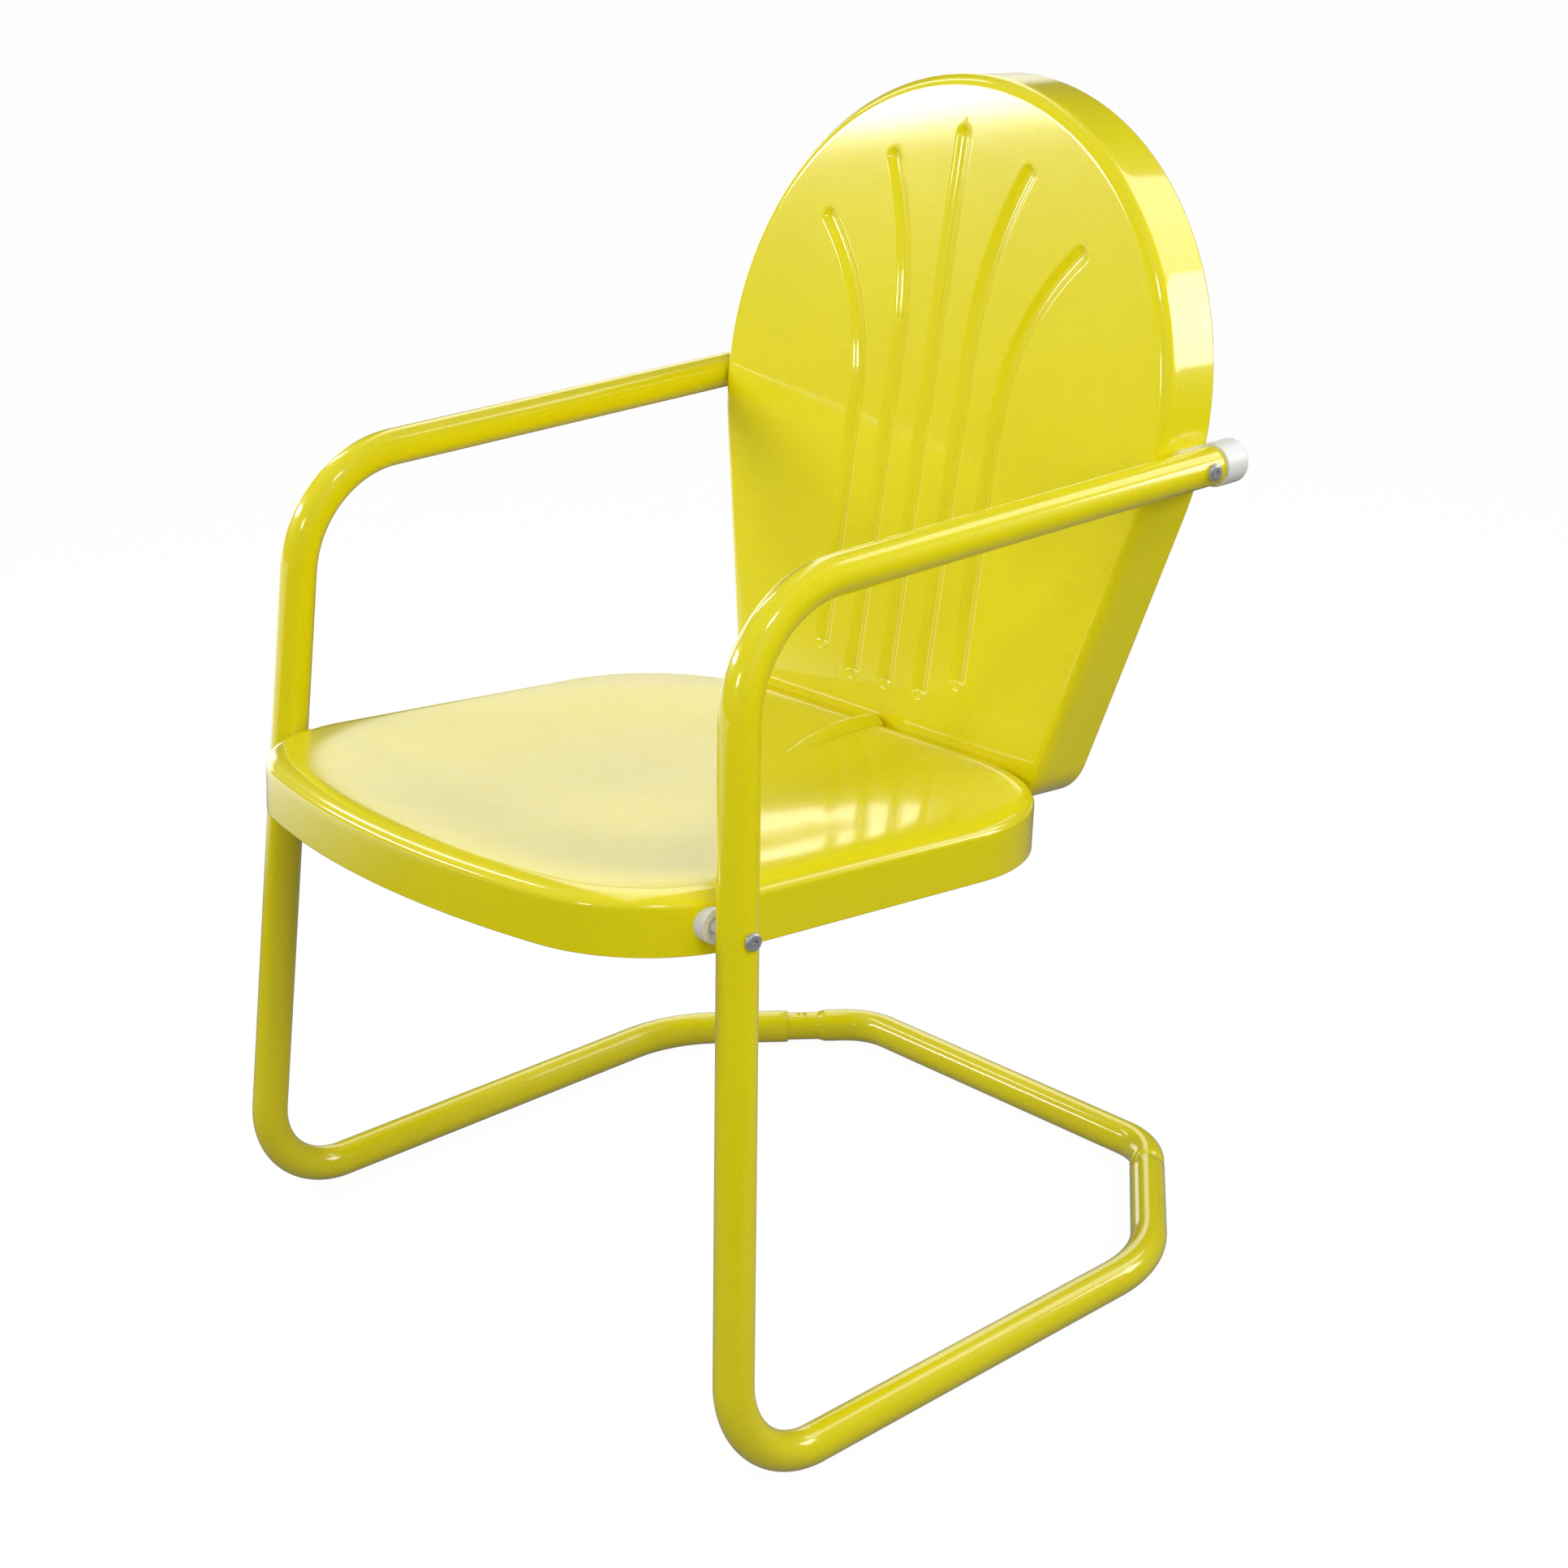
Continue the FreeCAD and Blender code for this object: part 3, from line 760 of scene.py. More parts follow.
    def crossbar_radii(self, path: TubePath, left: dict, right: dict) -> Array:
        """Radius along the crossbar: narrow up to the neck, full past the taper.

        Args:
            path: the crossbar's path.
            left: places along the left joint.
            right: the same on the right.

        Returns:
            A radius for each point.
        """
        radii = np.full(len(path.centres), SIZES.tube_radius)
        for joint in (left, right):
            axis = unit(joint["neck"] - joint["full"])
            beyond = (path.centres - joint["full"]) @ axis
            aside = np.linalg.norm(path.centres - joint["full"] - beyond[:, None] * axis, axis=1)
            share = smooth_step(beyond / self.swage_taper) * (aside < self.on_axis)
            radii = radii - share * (SIZES.tube_radius - self.swage_radius)
        return radii

    def dimpled(self, rings: Array, path: TubePath, joint: dict) -> Array:
        """Rings with the dimple pressed in: depth * (1 - d^2 / a^2)^2 within its radius.

        Args:
            rings: the outer wall.
            path: its path.
            joint: places along the joint that shows it.

        Returns:
            The rings.
        """
        axis = unit(joint["mouth"] - joint["neck"])
        top = (joint["mouth"] + joint["neck"]) / 2.0 + np.array([0.0, 0.0, self.swage_radius])
        offset = rings - top
        distance = np.linalg.norm(offset, axis=-1)
        share = np.clip(1.0 - (distance / self.dimple_radius) ** 2, 0.0, 1.0) ** 2
        inward = unit(path.centres[:, None, :] - rings)
        return rings + inward * (share * self.dimple_depth * self.dimple_press)[..., None]

    def build(self, palette: Palette) -> None:
        """Makes the three tubes: the side tubes stay where they are made, with no body, and the
        crossbar joins the base.

        Args:
            palette: the finishes.
        """
        for side in Side:
            tube = self.side_tube(side)
            palette.dress(tube, Slot.YELLOW)
            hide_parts("side_tube_" + side.name.lower())
            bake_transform(tube)
            LOG.info("side tube %s", side.name.lower())
        bar = self.crossbar()
        palette.dress(bar, Slot.YELLOW)
        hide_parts("rear_crossbar")
        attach(bar, Body.BASE.value)
        LOG.info("rear crossbar")


# Pressed pans

def arc_run(centre: tuple, radius: float, start: float, end: float, count: int) -> tuple:
    """Points and outward normals of an arc: centre + radius * (cos a, sin a).

    Args:
        centre: middle of the arc.
        radius: its radius.
        start: first angle in degrees.
        end: last angle.
        count: number of points.

    Returns:
        (points, normals).
    """
    a = np.radians(np.linspace(start, end, count))
    normal = np.stack([np.cos(a), np.sin(a)], axis=1)
    return np.array(centre) + radius * normal, normal


def line_run(start: tuple, end: tuple, normal: tuple, shares: Array) -> tuple:
    """Points and the outward normal of a straight run.

    Args:
        start: first end.
        end: last end.
        normal: the normal.
        shares: places from 0 to 1.

    Returns:
        (points, normals).
    """
    a, b = np.array(start, float), np.array(end, float)
    points = a + (b - a) * np.asarray(shares)[:, None]
    return points, np.repeat(np.array([normal], float), len(points), axis=0)


@dataclass
class SeatPan:
    """Pressed seat: dish, raised ridge, rolled edge and skirt.

    fine_columns are the reach and the spacing of the close columns across the ridge, in mm, and
    coarse_columns the start and the number of those beside them. run_points are the points on the
    later runs of the outline. row_bands give the first share, the last share and the number of
    rows between the middle and the rim, and edge_rows the rows round the rolled edge.
    """

    rear_corner: float = 130.0
    front_corner: float = 110.0
    front_radius: float = 700.0
    dish_depth: float = 17.0
    rim_width: float = 14.0
    edge_run: float = 20.0
    ridge_length: float = 112.0
    ridge_tip_drop: float = 3.0
    ridge_radius: float = 11.0
    ridge_rear_radius: float = 8.0
    ridge_rear_height: float = 5.0
    ridge_rear_gap: float = 3.0
    ridge_nose: float = 4.0
    ridge_blend: float = 0.5
    fine_columns: tuple = (17.0, 0.8)
    coarse_columns: tuple = (17.6, 12)
    run_points: tuple = (34, 18, 36, 18)
    row_bands: tuple = ((0.03, 0.52, 16), (0.53, 1.0, 58))
    edge_rows: int = 21

    def half_outline(self) -> tuple:
        """Right half of the outline, from the rear middle to the front middle.

        The runs are a straight rear, a corner arc, a straight side, a corner arc that is tangent
        to its neighbours and half of the wide front arc.

        Returns:
            (points, outward normals).
        """
        half, depth = SIZES.seat_half_width, SIZES.seat_depth
        rear_x, front_x = half - self.rear_corner, half - self.front_corner
        bow_y = self.front_radius - depth
        front_y = bow_y - math.sqrt((self.front_radius - self.front_corner) ** 2 - front_x ** 2)
        turn = math.degrees(math.atan2(front_x, bow_y - front_y))
        near = np.arange(0.0, *self.fine_columns) / rear_x
        far = np.linspace(self.coarse_columns[0] / rear_x, 1.0, self.coarse_columns[1])
        rear, side, front, bow = self.run_points
        runs = [
            line_run((0.0, 0.0), (rear_x, 0.0), (0.0, 1.0), np.concatenate([near, far])),
            arc_run((rear_x, -self.rear_corner), self.rear_corner, 90.0, 0.0, rear),
            line_run((half, -self.rear_corner), (half, front_y), (1.0, 0.0), np.linspace(0, 1, side)),
            arc_run((front_x, front_y), self.front_corner, 0.0, turn - 90.0, front),
            arc_run((0.0, bow_y), self.front_radius, turn - 90.0, -90.0, bow),
        ]
        return tuple(
            np.vstack([part if k == 0 else part[1:] for k, part in enumerate(parts)])
            for parts in zip(*runs)
        )

    def outline(self) -> tuple:
        """Whole outline as a closed loop of points and outward normals."""
        flip = np.array([-1.0, 1.0])
        return tuple(np.vstack([part, part[-2:0:-1] * flip]) for part in self.half_outline())

    def dish(self, x: Array, y: Array) -> Array:
        """Dish height: -depth * (1 - q)^2, q = |x / a|^3 + |y / b|^3 measured from the middle.

        Args:
            x: places across, in mm.
            y: places along, 0 at the rear.

        Returns:
            Heights in mm.
        """
        across = np.abs(x) / (SIZES.seat_half_width - self.rim_width)
        along = np.abs(y + SIZES.seat_depth / 2.0) / (SIZES.seat_depth / 2.0 - self.rim_width)
        q = np.clip(across ** 3 + along ** 3, 0.0, 1.0)
        return -self.dish_depth * (1.0 - q) ** 2

    def ridge(self, x: Array, y: Array) -> Array:
        """Height of the ridge's spindle: axis height + sqrt(r^2 - x^2), r on an arc along it.

        Its rear end is rounded off by sqrt(1 - u^2), with u growing from 0 to 1 along the nose.

        Args:
            x: places across, in mm.
            y: places along, 0 at the rear.

        Returns:
            Heights in mm, far below where there is no ridge.
        """
        tip_z = float(self.dish(np.array(0.0), np.array(-self.ridge_length))) - self.ridge_tip_drop
        rear_y, rear_z = -self.ridge_rear_gap, self.ridge_rear_height - self.ridge_rear_radius
        length = self.ridge_length - self.ridge_rear_gap
        t = (y + self.ridge_length) / length
        middle, end = self.ridge_radius, self.ridge_rear_radius
        k = length ** 2 / 4.0 + middle ** 2
        m = length ** 2 + end ** 2
        centre_r = (m - 2.0 * k) / (2.0 * (end - 2.0 * middle))
        centre_t = (k - 2.0 * middle * centre_r) / length
        arc = math.hypot(centre_t, centre_r)
        reach = np.sqrt(np.maximum(arc ** 2 - (t * length - centre_t) ** 2, 0.0)) + centre_r
        radius = np.where((t > 0.0) & (reach > 0.0), reach, 0.0)
        past = np.clip((y - rear_y + self.ridge_nose) / self.ridge_nose, 0.0, 1.0)
        nose = np.sqrt(np.clip(1.0 - past ** 2, 0.0, 1.0))
        rise = np.sqrt(np.maximum(radius ** 2 - x ** 2, 0.0))
        height = tip_z + (rear_z - tip_z) * t + rise * nose
        return np.where((radius > np.abs(x)) & (y < rear_y), height, NOWHERE)

    def top(self, x: Array, y: Array, base: Array) -> Array:
        """The surface with the ridge: max(ridge, base) + s / 4 * (1 - |ridge - base| / s)^2.

        The last part rounds the seam where the two are less than the blend s apart.

        Args:
            x: places across, in mm.
            y: places along, 0 at the rear.
            base: heights without the ridge.

        Returns:
            Heights in mm.
        """
        ridge, soft = self.ridge(x, y), self.ridge_blend
        gap = np.clip(1.0 - np.abs(ridge - base) / soft, 0.0, 1.0)
        return np.maximum(ridge, base) + soft / 4.0 * gap ** 2

    def surface(self) -> tuple:
        """The pressed sheet's outer side.

        Rows run from the middle to the rim, round the rolled edge as a quarter of an ellipse
        (run * sin a outwards, edge * cos a upwards) and straight down the skirt.

        Returns:
            (points, faces), in the seat's frame.
        """
        base, normal = self.outline()
        count, edge, run = len(base), SIZES.edge_radius, self.edge_run
        rim = base - run * normal
        middle = np.array([0.0, -SIZES.seat_depth / 2.0])
        shares = np.concatenate([np.linspace(*band) for band in self.row_bands])
        flat = middle + shares[:, None, None] * (rim - middle)
        height = self.top(flat[..., 0], flat[..., 1], self.dish(flat[..., 0], flat[..., 1]))
        a = np.radians(np.linspace(0.0, 90.0, self.edge_rows))[1:]
        rolled = base[None] - (run - run * np.sin(a))[:, None, None] * normal[None]
        drop = self.dish(rolled[..., 0], rolled[..., 1]) + (edge * np.cos(a) - edge)[:, None]
        drop = self.top(rolled[..., 0], rolled[..., 1], drop)
        lower = -edge - (SIZES.seat_skirt - edge) * WALL_SHARES
        skirt = np.repeat(base[None], len(lower), axis=0)
        level = np.repeat(lower[:, None], count, axis=1)
        plan = np.concatenate([flat, rolled, skirt])
        heights = np.concatenate([height, drop, level])
        grid = np.concatenate([plan, heights[..., None]], axis=-1)
        points = grid.reshape(-1, 3)
        pole = np.array([[middle[0], middle[1], float(self.dish(middle[0], middle[1]))]])
        ring = np.arange(count)
        fan = np.stack([(ring + 1) % count, ring, np.full(count, len(points))], axis=1)
        return np.vstack([points, pole]), [grid_quads(len(grid), count, False, True), fan]

    def build(self, palette: Palette) -> None:
        """Makes the seat and gives the sheet its thickness.

        Args:
            palette: the finishes.
        """
        points, faces = self.surface()
        seat = SIZES.seat_frame()
        inside = seat.place((0.0, -SIZES.seat_depth / 2.0, -SIZES.seat_skirt))
        piece = put_mesh("visual_seat_pan", seat.place(points), faces, inside)
        thicken(piece)
        palette.dress(piece, Slot.YELLOW)
        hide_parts("seat_pan")
        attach(piece, Body.UPPER.value)
        LOG.info("seat pan")


def thicken(piece: Piece) -> None:
    """Gives a sheet its thickness inwards.

    Args:
        piece: the sheet.
    """
    solid = piece.modifiers.new("sheet", "SOLIDIFY")
    solid.thickness = SIZES.sheet * MM
    solid.offset = -1.0


@dataclass
class Flute:
    """One pressed groove: straight up from its foot, then curving outwards.

    Args:
        offset: distance from the centre line, in mm, 0 for the middle one.
        foot: where it starts up the panel.
        bend_rise: where it starts to curve.
        bend_radius: radius of the curve.
        top: where it ends.
        steepest: largest sine of the curve's slope.
    """

    offset: float
    foot: float
    bend_rise: float
    bend_radius: float
    top: float
    steepest: float = 0.999

    def turn(self) -> float:
        """How far the curve turns, in radians."""
        return math.asin((self.top - self.bend_rise) / self.bend_radius) if self.offset else 0.0

    def middle(self, rise: Array) -> tuple:
        """Centre line at a height: (x, slope angle), held at the top's angle above the groove.

        Args:
            rise: heights up the panel.

        Returns:
            (x in mm, angle in radians).
        """
        climb = (np.minimum(rise, self.top) - self.bend_rise) / self.bend_radius
        angle = np.arcsin(np.clip(climb, 0.0, self.steepest))
        out = self.offset + self.bend_radius * (1.0 - np.cos(angle))
        return out + np.tan(angle) * np.maximum(rise - self.top, 0.0), angle

    def distance(self, x: Array, rise: Array) -> Array:
        """Distance to the groove's centre line: the nearer of its straight run and its arc.

        Args:
            x: places across, on the right half.
            rise: heights up the panel.

        Returns:
            Distances in mm.
        """
        foot_to = np.clip(rise, self.foot, self.bend_rise if self.offset else self.top)
        straight = np.hypot(x - self.offset, rise - foot_to)
        if not self.offset:
            return straight
        centre = self.offset + self.bend_radius
        a = np.clip(np.arctan2(rise - self.bend_rise, centre - x), 0.0, self.turn())
        arc_x = centre - self.bend_radius * np.cos(a)
        arc_y = self.bend_rise + self.bend_radius * np.sin(a)
        return np.minimum(straight, np.hypot(x - arc_x, rise - arc_y))


@dataclass
class BackPan:
    """Pressed back: fluted panel, bent lower strip, rolled edge and leaning flange.

    group_half is half the width of the close columns on a flute and group_margin what is kept
    clear past the flute's own half width, in mm. gap_columns and side_columns count the places
    between two flutes and beside the outer one. Rows narrower than narrow_row to a side squeeze
    the middle group. corner_rows and top_rows give the first angle, the last angle and the number
    of rows on the arcs, and row_bands the start, the end and the spacing of the rows between.
    """

    bottom_half_width: float = 168.5
    bottom_drop: float = 37.6
    corner: float = 38.0
    crease_radius: float = 12.0
    flute_half_width: float = 8.6
    flute_depth: float = 4.0
    group_half: float = 11.5
    group_margin: float = 3.0
    gap_columns: int = 6
    side_columns: int = 12
    narrow_row: float = 60.0
    edge_rows: int = 11
    corner_rows: tuple = (-90.0, -18.0, 10)
    top_rows: tuple = (65.0, 90.0, 16)
    row_bands: tuple = (
        (-5.0, 15.0, 1.2),
        (15.0, 54.0, 1.1),
        (56.0, 230.0, 8.0),
        (232.0, 366.0, 5.0),
        (367.0, 389.0, 1.2),
        (391.0, 419.0, 4.0),
        (420.0, 442.0, 1.2),
        (443.0, 464.0, 1.2),
    )
    flutes: tuple = (
        Flute(0.0, 27.0, 0.0, 1.0, 454.0),
        Flute(39.0, 27.0, 288.0, 320.0, 431.0),
        Flute(78.0, 43.0, 240.0, 190.0, 378.0),
    )

    def taper(self) -> float:
        """Lean of the straight sides: the tangent from the bottom corner to the round top.

        Returns:
            The angle in radians.
        """
        across, up = self.bottom_half_width, SIZES.back_centre_rise + self.bottom_drop
        reach = math.hypot(across, up)
        return math.asin(SIZES.back_radius / reach) - math.atan2(across, up)

    def edge_at(self, rise: Array) -> tuple:
        """Right edge of the flat panel at each height, with its outward normal.

        The edge is the outline moved in by the edge radius: a corner arc, a straight taper
        and the round top.

        Args:
            rise: heights up the panel.

        Returns:
            (x, N x 2 outward normals).
        """
        lean, inset = self.taper(), SIZES.edge_radius
        corner_r, top_r = self.corner - inset, SIZES.back_radius - inset
        corner_y = self.corner - self.bottom_drop
        setback = self.corner * math.tan((math.pi / 2.0 - lean) / 2.0)
        corner_x = self.bottom_half_width - setback
        low_end = corner_y - corner_r * math.sin(lean)
        high_start = SIZES.back_centre_rise - top_r * math.sin(lean)
        drop = np.clip((rise - corner_y) / corner_r, -1.0, 1.0)
        climb = np.clip((rise - SIZES.back_centre_rise) / top_r, -1.0, 1.0)
        low = corner_x + corner_r * np.sqrt(1.0 - drop ** 2)
        high = top_r * np.sqrt(1.0 - climb ** 2)
        start_x = corner_x + corner_r * math.cos(lean)
        side = start_x + (rise - low_end) * math.tan(lean)
        zone = np.where(rise < low_end, 0, np.where(rise > high_start, 2, 1))
        x = np.choose(zone, [low, side, high])
        sine = np.choose(zone, [drop, np.full_like(rise, -math.sin(lean)), climb])
        return x, np.stack([np.sqrt(1.0 - sine ** 2), sine], axis=-1)

    def rises(self) -> Array:
        """Heights of the panel's rows: close together where the flutes start and end.

        Returns:
            Heights in mm.
        """
        inset = SIZES.edge_radius
        corner_r, top_r = self.corner - inset, SIZES.back_radius - inset
        corner_y = self.corner - self.bottom_drop
        arcs = corner_y + corner_r * np.sin(np.radians(np.linspace(*self.corner_rows)))
        top = SIZES.back_centre_rise + top_r * np.sin(np.radians(np.linspace(*self.top_rows)))
        bands = [np.arange(*band) for band in self.row_bands]
        return np.concatenate([arcs, *bands, top])

    def columns(self, rise: Array, width: Array) -> Array:
        """Places across each row: a close group of columns follows each flute.

        Above a flute's top its group keeps its share of the row's width.

        Args:
            rise: heights of the rows.
            width: half width of each row.

        Returns:
            rows x columns places, from left to right.
        """
        group = np.arange(-self.group_half, self.group_half + 0.1, 1.0)
        reach = self.flute_half_width + self.group_margin
        keys = []
        for flute in self.flutes[1:]:
            limit = flute.top + self.flute_half_width
            held = np.minimum(rise, limit)
            middle, angle = flute.middle(held)
            base_width = self.edge_at(held)[0]
            shrink = np.where(rise > limit, width / base_width, 1.0)
            keys.append((middle * shrink, shrink / np.cos(angle)))
        scale = np.minimum(1.0, width / self.narrow_row)
        centre = group[None, :] * scale[:, None]
        columns = [centre[:, len(group) // 2:]]
        edge, edge_scale = np.zeros_like(rise), scale
        for middle, stretch in keys:
            inner = middle - reach * stretch
            start = edge + reach * edge_scale
            gap = np.linspace(0.0, 1.0, self.gap_columns)[1:-1]
            columns.append(start[:, None] + (inner - start)[:, None] * gap)
            columns.append(middle[:, None] + group[None, :] * stretch[:, None])
            edge, edge_scale = middle, stretch
        start = edge + reach * edge_scale
        gap = np.linspace(0.0, 1.0, self.side_columns)[1:]
        columns.append(start[:, None] + (width - start)[:, None] * gap)
        right = np.concatenate(columns, axis=1)
        return np.concatenate([-right[:, ::-1], right], axis=1)

    def depth(self, x: Array, rise: Array) -> Array:
        """Panel height: the fold above the lower strip plus the pressed flutes.

        The fold is -tan(b) * (sqrt(s^2 + w^2) - s) / 2, with s the height up the panel, w a
        quarter of the fold's radius and b its angle. A flute is -depth * (1 - q^2)^1.5, with q the
        distance to its centre line over its half width.

        Args:
            x: places across, in mm.
            rise: heights up the panel.

        Returns:
            Heights in mm.
        """
        lean = math.tan(math.radians(SIZES.back_recline - SIZES.seat_tilt))
        width = self.crease_radius / 4.0
        fold = -lean * (np.sqrt(rise ** 2 + width ** 2) - rise) / 2.0
        nearest = np.min([f.distance(np.abs(x), rise) for f in self.flutes], axis=0)
        q = np.clip(nearest / self.flute_half_width, 0.0, 1.0)
        return fold - self.flute_depth * (1.0 - q ** 2) ** 1.5

    def surface(self) -> tuple:
        """The pressed sheet's outer side.

        The panel's grid is followed by rings round it: over the rolled edge as a quarter circle
        (edge * sin a outwards, edge * cos a upwards) and rearwards along the leaning flange.

        Returns:
            (points, faces), in the back's frame.
        """
        rise = self.rises()
        width, normal = self.edge_at(rise)
        rows = rise[:-1]
        across = self.columns(rows, width[:-1])
        up = np.repeat(rows[:, None], across.shape[1], axis=1)
        count_rows, count = across.shape
        face = np.stack([across, up, self.depth(across, up)], axis=-1)
        flat = face.reshape(-1, 3)
        pole = np.array([[0.0, rise[-1], 0.0]])
        ends = np.arange(1, count_rows) * count
        loop = np.concatenate([np.arange(count), ends + count - 1, [len(flat)], ends[::-1]])
        flip = np.array([-1.0, 1.0])
        down = np.repeat(np.array([[0.0, -1.0]]), count, axis=0)
        out = np.vstack([down, normal[1:-1], [[0.0, 1.0]], (normal[1:-1] * flip)[::-1]])
        points = np.vstack([flat, pole])
        rim = points[loop][:, :2]
        edge = SIZES.edge_radius
        a = np.radians(np.linspace(0.0, 90.0, self.edge_rows))[1:]
        plan = rim[None] + (edge * np.sin(a))[:, None, None] * out[None]
        rolled = self.depth(plan[..., 0], plan[..., 1]) + (edge * np.cos(a) - edge)[:, None]
        wall = rolled[-1] + (-SIZES.back_flange - rolled[-1]) * WALL_SHARES[:, None]
        walls = np.repeat(plan[-1:], len(wall), axis=0)
        levels = np.concatenate([rolled, wall])
        plans = np.concatenate([plan, walls])
        lean_share = np.concatenate([np.sin(a), np.ones(len(wall))])[:, None]
        plans[..., 1] -= levels * lean_share * SIZES.flange_slope()
        ring_points = np.concatenate([plans, levels[..., None]], axis=-1)
        rings = ring_points.reshape(-1, 3)
        size, start = len(loop), len(points)
        first = np.arange(size)
        after = (first + 1) % size
        seam = np.stack([loop[first], loop[after], start + after, start + first], axis=1)
        quads = grid_quads(len(ring_points), size, False, True) + start
        top_row = (count_rows - 1) * count
        j = np.arange(count - 1)
        fan = np.stack([top_row + j, top_row + j + 1, np.full(count - 1, len(flat))], axis=1)
        panel = grid_quads(count_rows, count, False, False)
        return np.vstack([points, rings]), [panel, seam[:, ::-1], quads[:, ::-1], fan]

    def build(self, palette: Palette) -> None:
        """Makes the back and gives the sheet its thickness.

        Args:
            palette: the finishes.
        """
        points, faces = self.surface()
        back = SIZES.back_frame()
        inside = back.place((0.0, SIZES.back_centre_rise, -SIZES.back_flange))
        piece = put_mesh("visual_back_pan", back.place(points), faces, inside)
        thicken(piece)
        palette.dress(piece, Slot.YELLOW)
        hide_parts("back_pan")
        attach(piece, Body.UPPER.value)
        LOG.info("back pan")


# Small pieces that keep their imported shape

class KeptPieces:
    """Caps, spacers and fasteners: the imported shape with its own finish."""

    white = ("arm_cap_left", "arm_cap_right", "seat_spacer_left", "seat_spacer_right")
    zinc = tuple(
        place + "_" + kind
        for place in ("arm", "seat", "back")
        for kind in ("screws", "washers", "nuts")
    )

    def build(self, palette: Palette) -> None:
        """Gives each kept node its finish.

        Args:
            palette: the finishes.
        """
        for names, slot in ((self.white, Slot.WHITE), (self.zinc, Slot.ZINC)):
            for name in names:
                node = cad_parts[name]
                node.data.materials.clear()
                node.data.materials.append(palette.by_slot[slot])
                LOG.info("kept %s", name)


# Studio

@dataclass(frozen=True)
class SoftBox:
    """A rectangular lamp of even brightness.

    Args:
        name: the lamp's name.
        place: where its middle stands, in metres.
        azimuth: the side of the chair it stands on, in degrees from the front towards +X.
        size: width and height in metres.
        level: brightness, 1 being the white of the surroundings.
        lift: how far it is turned down towards the chair, in degrees.
        roll: how far its lower edge rises to its right as the chair sees it, in degrees.
        mirrored: whether the gloss shows it.
    """

    name: str
    place: tuple
    azimuth: float
    size: tuple
    level: float
    lift: float = 0.0
    roll: float = 0.0
    mirrored: bool = True

    def put(self) -> None:
        """Adds the lamp: its power is pi * area * level."""
        lamp = bpy.data.lights.new(self.name, "AREA")
        lamp.shape = "RECTANGLE"
        lamp.size, lamp.size_y = self.size
        lamp.energy = math.pi * self.size[0] * self.size[1] * self.level
        holder = bpy.data.objects.new(self.name, lamp)
        holder.location = self.place
        turn, lift = math.radians(self.azimuth), math.radians(self.lift)
        level = math.cos(lift)
        out = Vector((math.sin(turn) * level, -math.cos(turn) * level, math.sin(lift)))
        facing = (-out).to_track_quat("-Z", "Y")
        facing.rotate(Quaternion(out, math.radians(self.roll)))
        holder.rotation_mode = "QUATERNION"
        holder.rotation_quaternion = facing
        holder.visible_glossy = self.mirrored
        bpy.context.scene.collection.objects.link(holder)


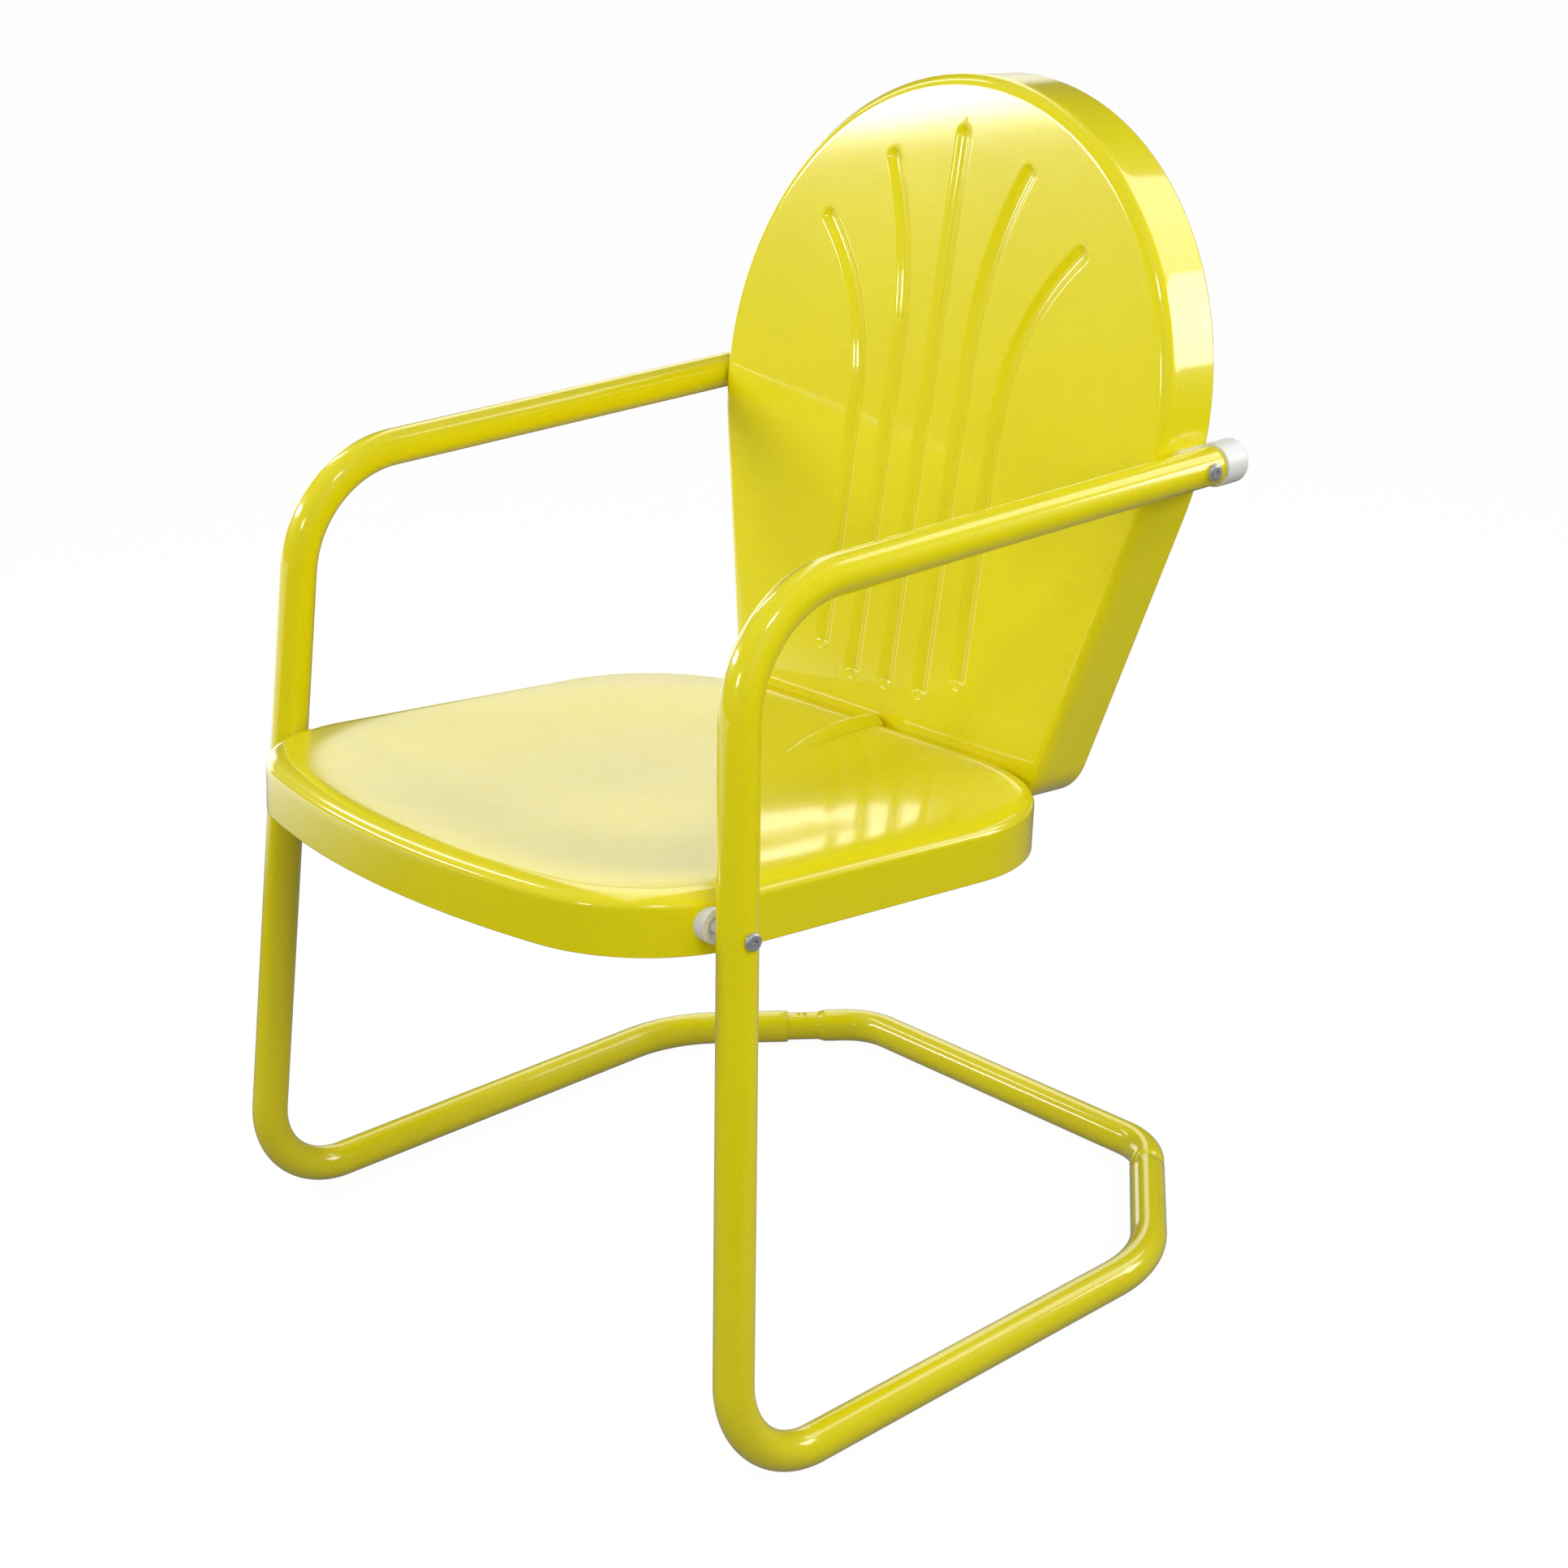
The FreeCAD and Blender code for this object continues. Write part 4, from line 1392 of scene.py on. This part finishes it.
@dataclass
class Studio:
    """White floor, white surroundings, soft boxes and the camera at the photograph's view."""

    azimuth: float = 49.37
    elevation: float = 20.873
    roll: float = -2.214
    lens: float = 67.32
    target: tuple = (0.0, 150.0, 400.0)
    shift_right: float = 133.7
    shift_up: float = 8.7
    distance: float = 2171.0
    sensor: float = 36.0
    view_end: float = 100.0
    sky_levels: tuple = (0.68, 0.10)
    front_light: float = 0.22
    front_span: tuple = (-0.2, 1.0)
    room_dark: float = 0.04
    ceiling: float = 0.45
    ceiling_span: tuple = (0.6, 0.85)
    wall_levels: tuple = (0.55, 2.4)
    wall_heights: tuple = (-0.05, 0.62)
    wall_bearings: tuple = (-140.0, -125.0)
    panel_level: float = 2.6
    panel_top: tuple = (0.22, 0.28)
    panel_bearings: tuple = (-112.0, -88.0)
    edge_softness: float = 1.5
    floor_half: float = 40.0
    floor_white: float = 1.20
    floor_glow: float = 0.8
    floor_tone: tuple = (0.28, 0.27, 0.25)
    near_level: float = 0.22
    near_span: tuple = (0.7, 1.3)
    aside_level: float = 1.4
    aside_span: tuple = (-1.8, -1.0)
    boxes: tuple = (
        SoftBox("key", (-1.383, -1.177, 1.363), -46.0, (1.04, 0.22), 20.0, roll=24.0),
        SoftBox("rear right", (1.441, 1.902, 1.22), 146.0, (0.60, 0.86), 8.6),
        SoftBox("rear right top", (0.798, 2.335, 2.73), 146.0, (1.35, 2.14), 3.0),
        SoftBox("front", (0.53, -1.97, 1.45), 15.0, (0.3, 0.25), 20.0, lift=22.0),
        SoftBox("right", (1.49, -0.62, 2.23), 72.0, (0.4, 0.2), 22.0, lift=52.0),
        SoftBox("left", (-1.72, -0.11, 2.01), -96.0, (0.22, 1.05), 9.0, lift=46.0),
        SoftBox("fill", (2.1, -0.6, 1.7), 74.0, (1.4, 1.4), 4.0, lift=-20.0, mirrored=False),
    )

    def camera(self) -> None:
        """Camera placed from the fitted view: turn, height, roll and offsets from the target."""
        az, el, roll = (math.radians(v) for v in (self.azimuth, self.elevation, self.roll))
        back = np.array([math.sin(az) * math.cos(el), -math.cos(az) * math.cos(el), math.sin(el)])
        right = np.array([math.cos(az), math.sin(az), 0.0])
        up = np.cross(back, right)
        across = math.cos(roll) * right + math.sin(roll) * up
        rise = -math.sin(roll) * right + math.cos(roll) * up
        place = np.array(self.target) + back * self.distance
        place = place + across * self.shift_right + rise * self.shift_up
        place = (place - np.array([0.0, SIZES.origin_y(), 0.0])) * MM
        data = bpy.data.cameras.new("camera")
        data.lens = self.lens
        data.sensor_width = self.sensor
        data.clip_end = self.view_end
        holder = bpy.data.objects.new("camera", data)
        turn = Matrix(np.stack([across, rise, back], axis=1).tolist())
        holder.matrix_world = Matrix.Translation(Vector(place)) @ turn.to_4x4()
        bpy.context.scene.collection.objects.link(holder)
        bpy.context.scene.camera = holder

    def between(self, graph: Graph, bearing: Socket, limits: tuple) -> Socket:
        """A part of the horizon.

        Args:
            graph: the tree that is being filled.
            bearing: socket with the bearing in radians.
            limits: two bearings in degrees.

        Returns:
            1 between the two bearings and 0 outside, with soft edges.
        """
        soft = math.radians(self.edge_softness)
        start, end = (math.radians(limit) for limit in limits)
        rise = graph.spread(bearing, 0.0, 1.0, (start - soft, start + soft), smooth=True)
        fall = graph.spread(bearing, 1.0, 0.0, (end - soft, end + soft), smooth=True)
        return graph.work("MULTIPLY", rise, fall)

    def world(self) -> None:
        """White surroundings for the camera, a plain level as light, a dim room in the gloss.

        The light is strongest from the horizon, weakens towards the top and is a little stronger
        from the front. The room that the gloss shows is dark, with a pale ceiling, a pale wall
        behind the chair on its right that is brighter towards its top, and a low panel straight on
        its right.
        """
        world = bpy.data.worlds.new("studio")
        world.use_nodes = True
        graph = Graph(world.node_tree)
        graph.nodes.clear()
        path = graph.add("LightPath").outputs
        split = graph.add("SeparateXYZ", Vector=graph.add("TexCoord").outputs["Generated"])
        height = split.outputs["Z"]
        front = graph.work("MULTIPLY", split.outputs["Y"], -1.0)
        bearing = graph.work("ARCTAN2", split.outputs["X"], front)
        rise = graph.spread(height, *self.wall_levels, self.wall_heights)
        wall = graph.work("MULTIPLY", self.between(graph, bearing, self.wall_bearings), rise)
        low = graph.spread(height, self.panel_level, 0.0, self.panel_top, smooth=True)
        panel = graph.work("MULTIPLY", self.between(graph, bearing, self.panel_bearings), low)
        dark = self.room_dark
        ceiling = graph.spread(height, dark, self.ceiling, self.ceiling_span, smooth=True)
        room = graph.work("MAXIMUM", graph.work("MAXIMUM", wall, panel), ceiling)
        sky = graph.spread(height, *self.sky_levels, (0.0, 1.0))
        sky = graph.work("ADD", sky, graph.spread(front, 0.0, self.front_light, self.front_span))
        level = graph.mix(path["Is Glossy Ray"], sky, room)
        level = graph.mix(path["Is Camera Ray"], level, 1.0)
        light = graph.add("Background", Color=(1.0, 1.0, 1.0, 1.0), Strength=level)
        graph.add("OutputWorld", Surface=light.outputs["Background"])
        bpy.context.scene.world = world

    def floor(self) -> None:
        """Pale floor that keeps a soft shadow and reads as white to the camera.

        In the gloss it is dim near the chair, dark further off and pale on the chair's right.
        """
        half = self.floor_half
        mesh = bpy.data.meshes.new("floor")
        corners = [(-half, -half, 0), (half, -half, 0), (half, half, 0), (-half, half, 0)]
        mesh.from_pydata(corners, [], [(0, 1, 2, 3)])
        piece = bpy.data.objects.new("floor", mesh)
        bpy.context.scene.collection.objects.link(piece)
        material = bpy.data.materials.new("white floor")
        material.use_nodes = True
        graph = Graph(material.node_tree)
        graph.nodes.clear()
        path = graph.add("LightPath").outputs
        place = graph.add("TexCoord").outputs["Object"]
        x = graph.add("SeparateXYZ", Vector=place).outputs["X"]
        reach = graph.add("VectorMath", Vector=place)
        reach.operation = "LENGTH"
        away = reach.outputs["Value"]
        near = graph.spread(away, self.near_level, self.room_dark, self.near_span, smooth=True)
        aside = graph.spread(x, self.aside_level, 0.0, self.aside_span, smooth=True)
        shown = graph.work("ADD", near, aside)
        glossy = path["Is Glossy Ray"]
        matt = graph.add("BsdfDiffuse", Color=(*self.floor_tone, 1.0))
        glow = graph.add("Emission", Strength=graph.mix(glossy, self.floor_white, shown))
        share = graph.work("MULTIPLY", path["Is Camera Ray"], self.floor_glow)
        both = graph.add("MixShader", Fac=graph.work("MAXIMUM", share, glossy))
        graph.feed(both.inputs[1], matt.outputs["BSDF"])
        graph.feed(both.inputs[2], glow.outputs["Emission"])
        graph.add("OutputMaterial", Surface=both.outputs["Shader"])
        mesh.materials.append(material)

    def build(self) -> None:
        """Sets up the whole studio."""
        bpy.context.scene.view_settings.view_transform = "Standard"
        self.camera()
        self.world()
        self.floor()
        for box in self.boxes:
            box.put()
        LOG.info("studio")


def main() -> None:
    """Builds the chair piece by piece, then the studio."""
    logging.basicConfig(level=logging.INFO, format="%(message)s")
    palette = Palette()
    Studio().build()
    TubeFrame().build(palette)
    SeatPan().build(palette)
    BackPan().build(palette)
    KeptPieces().build(palette)


if __name__ == "__main__":
    main()
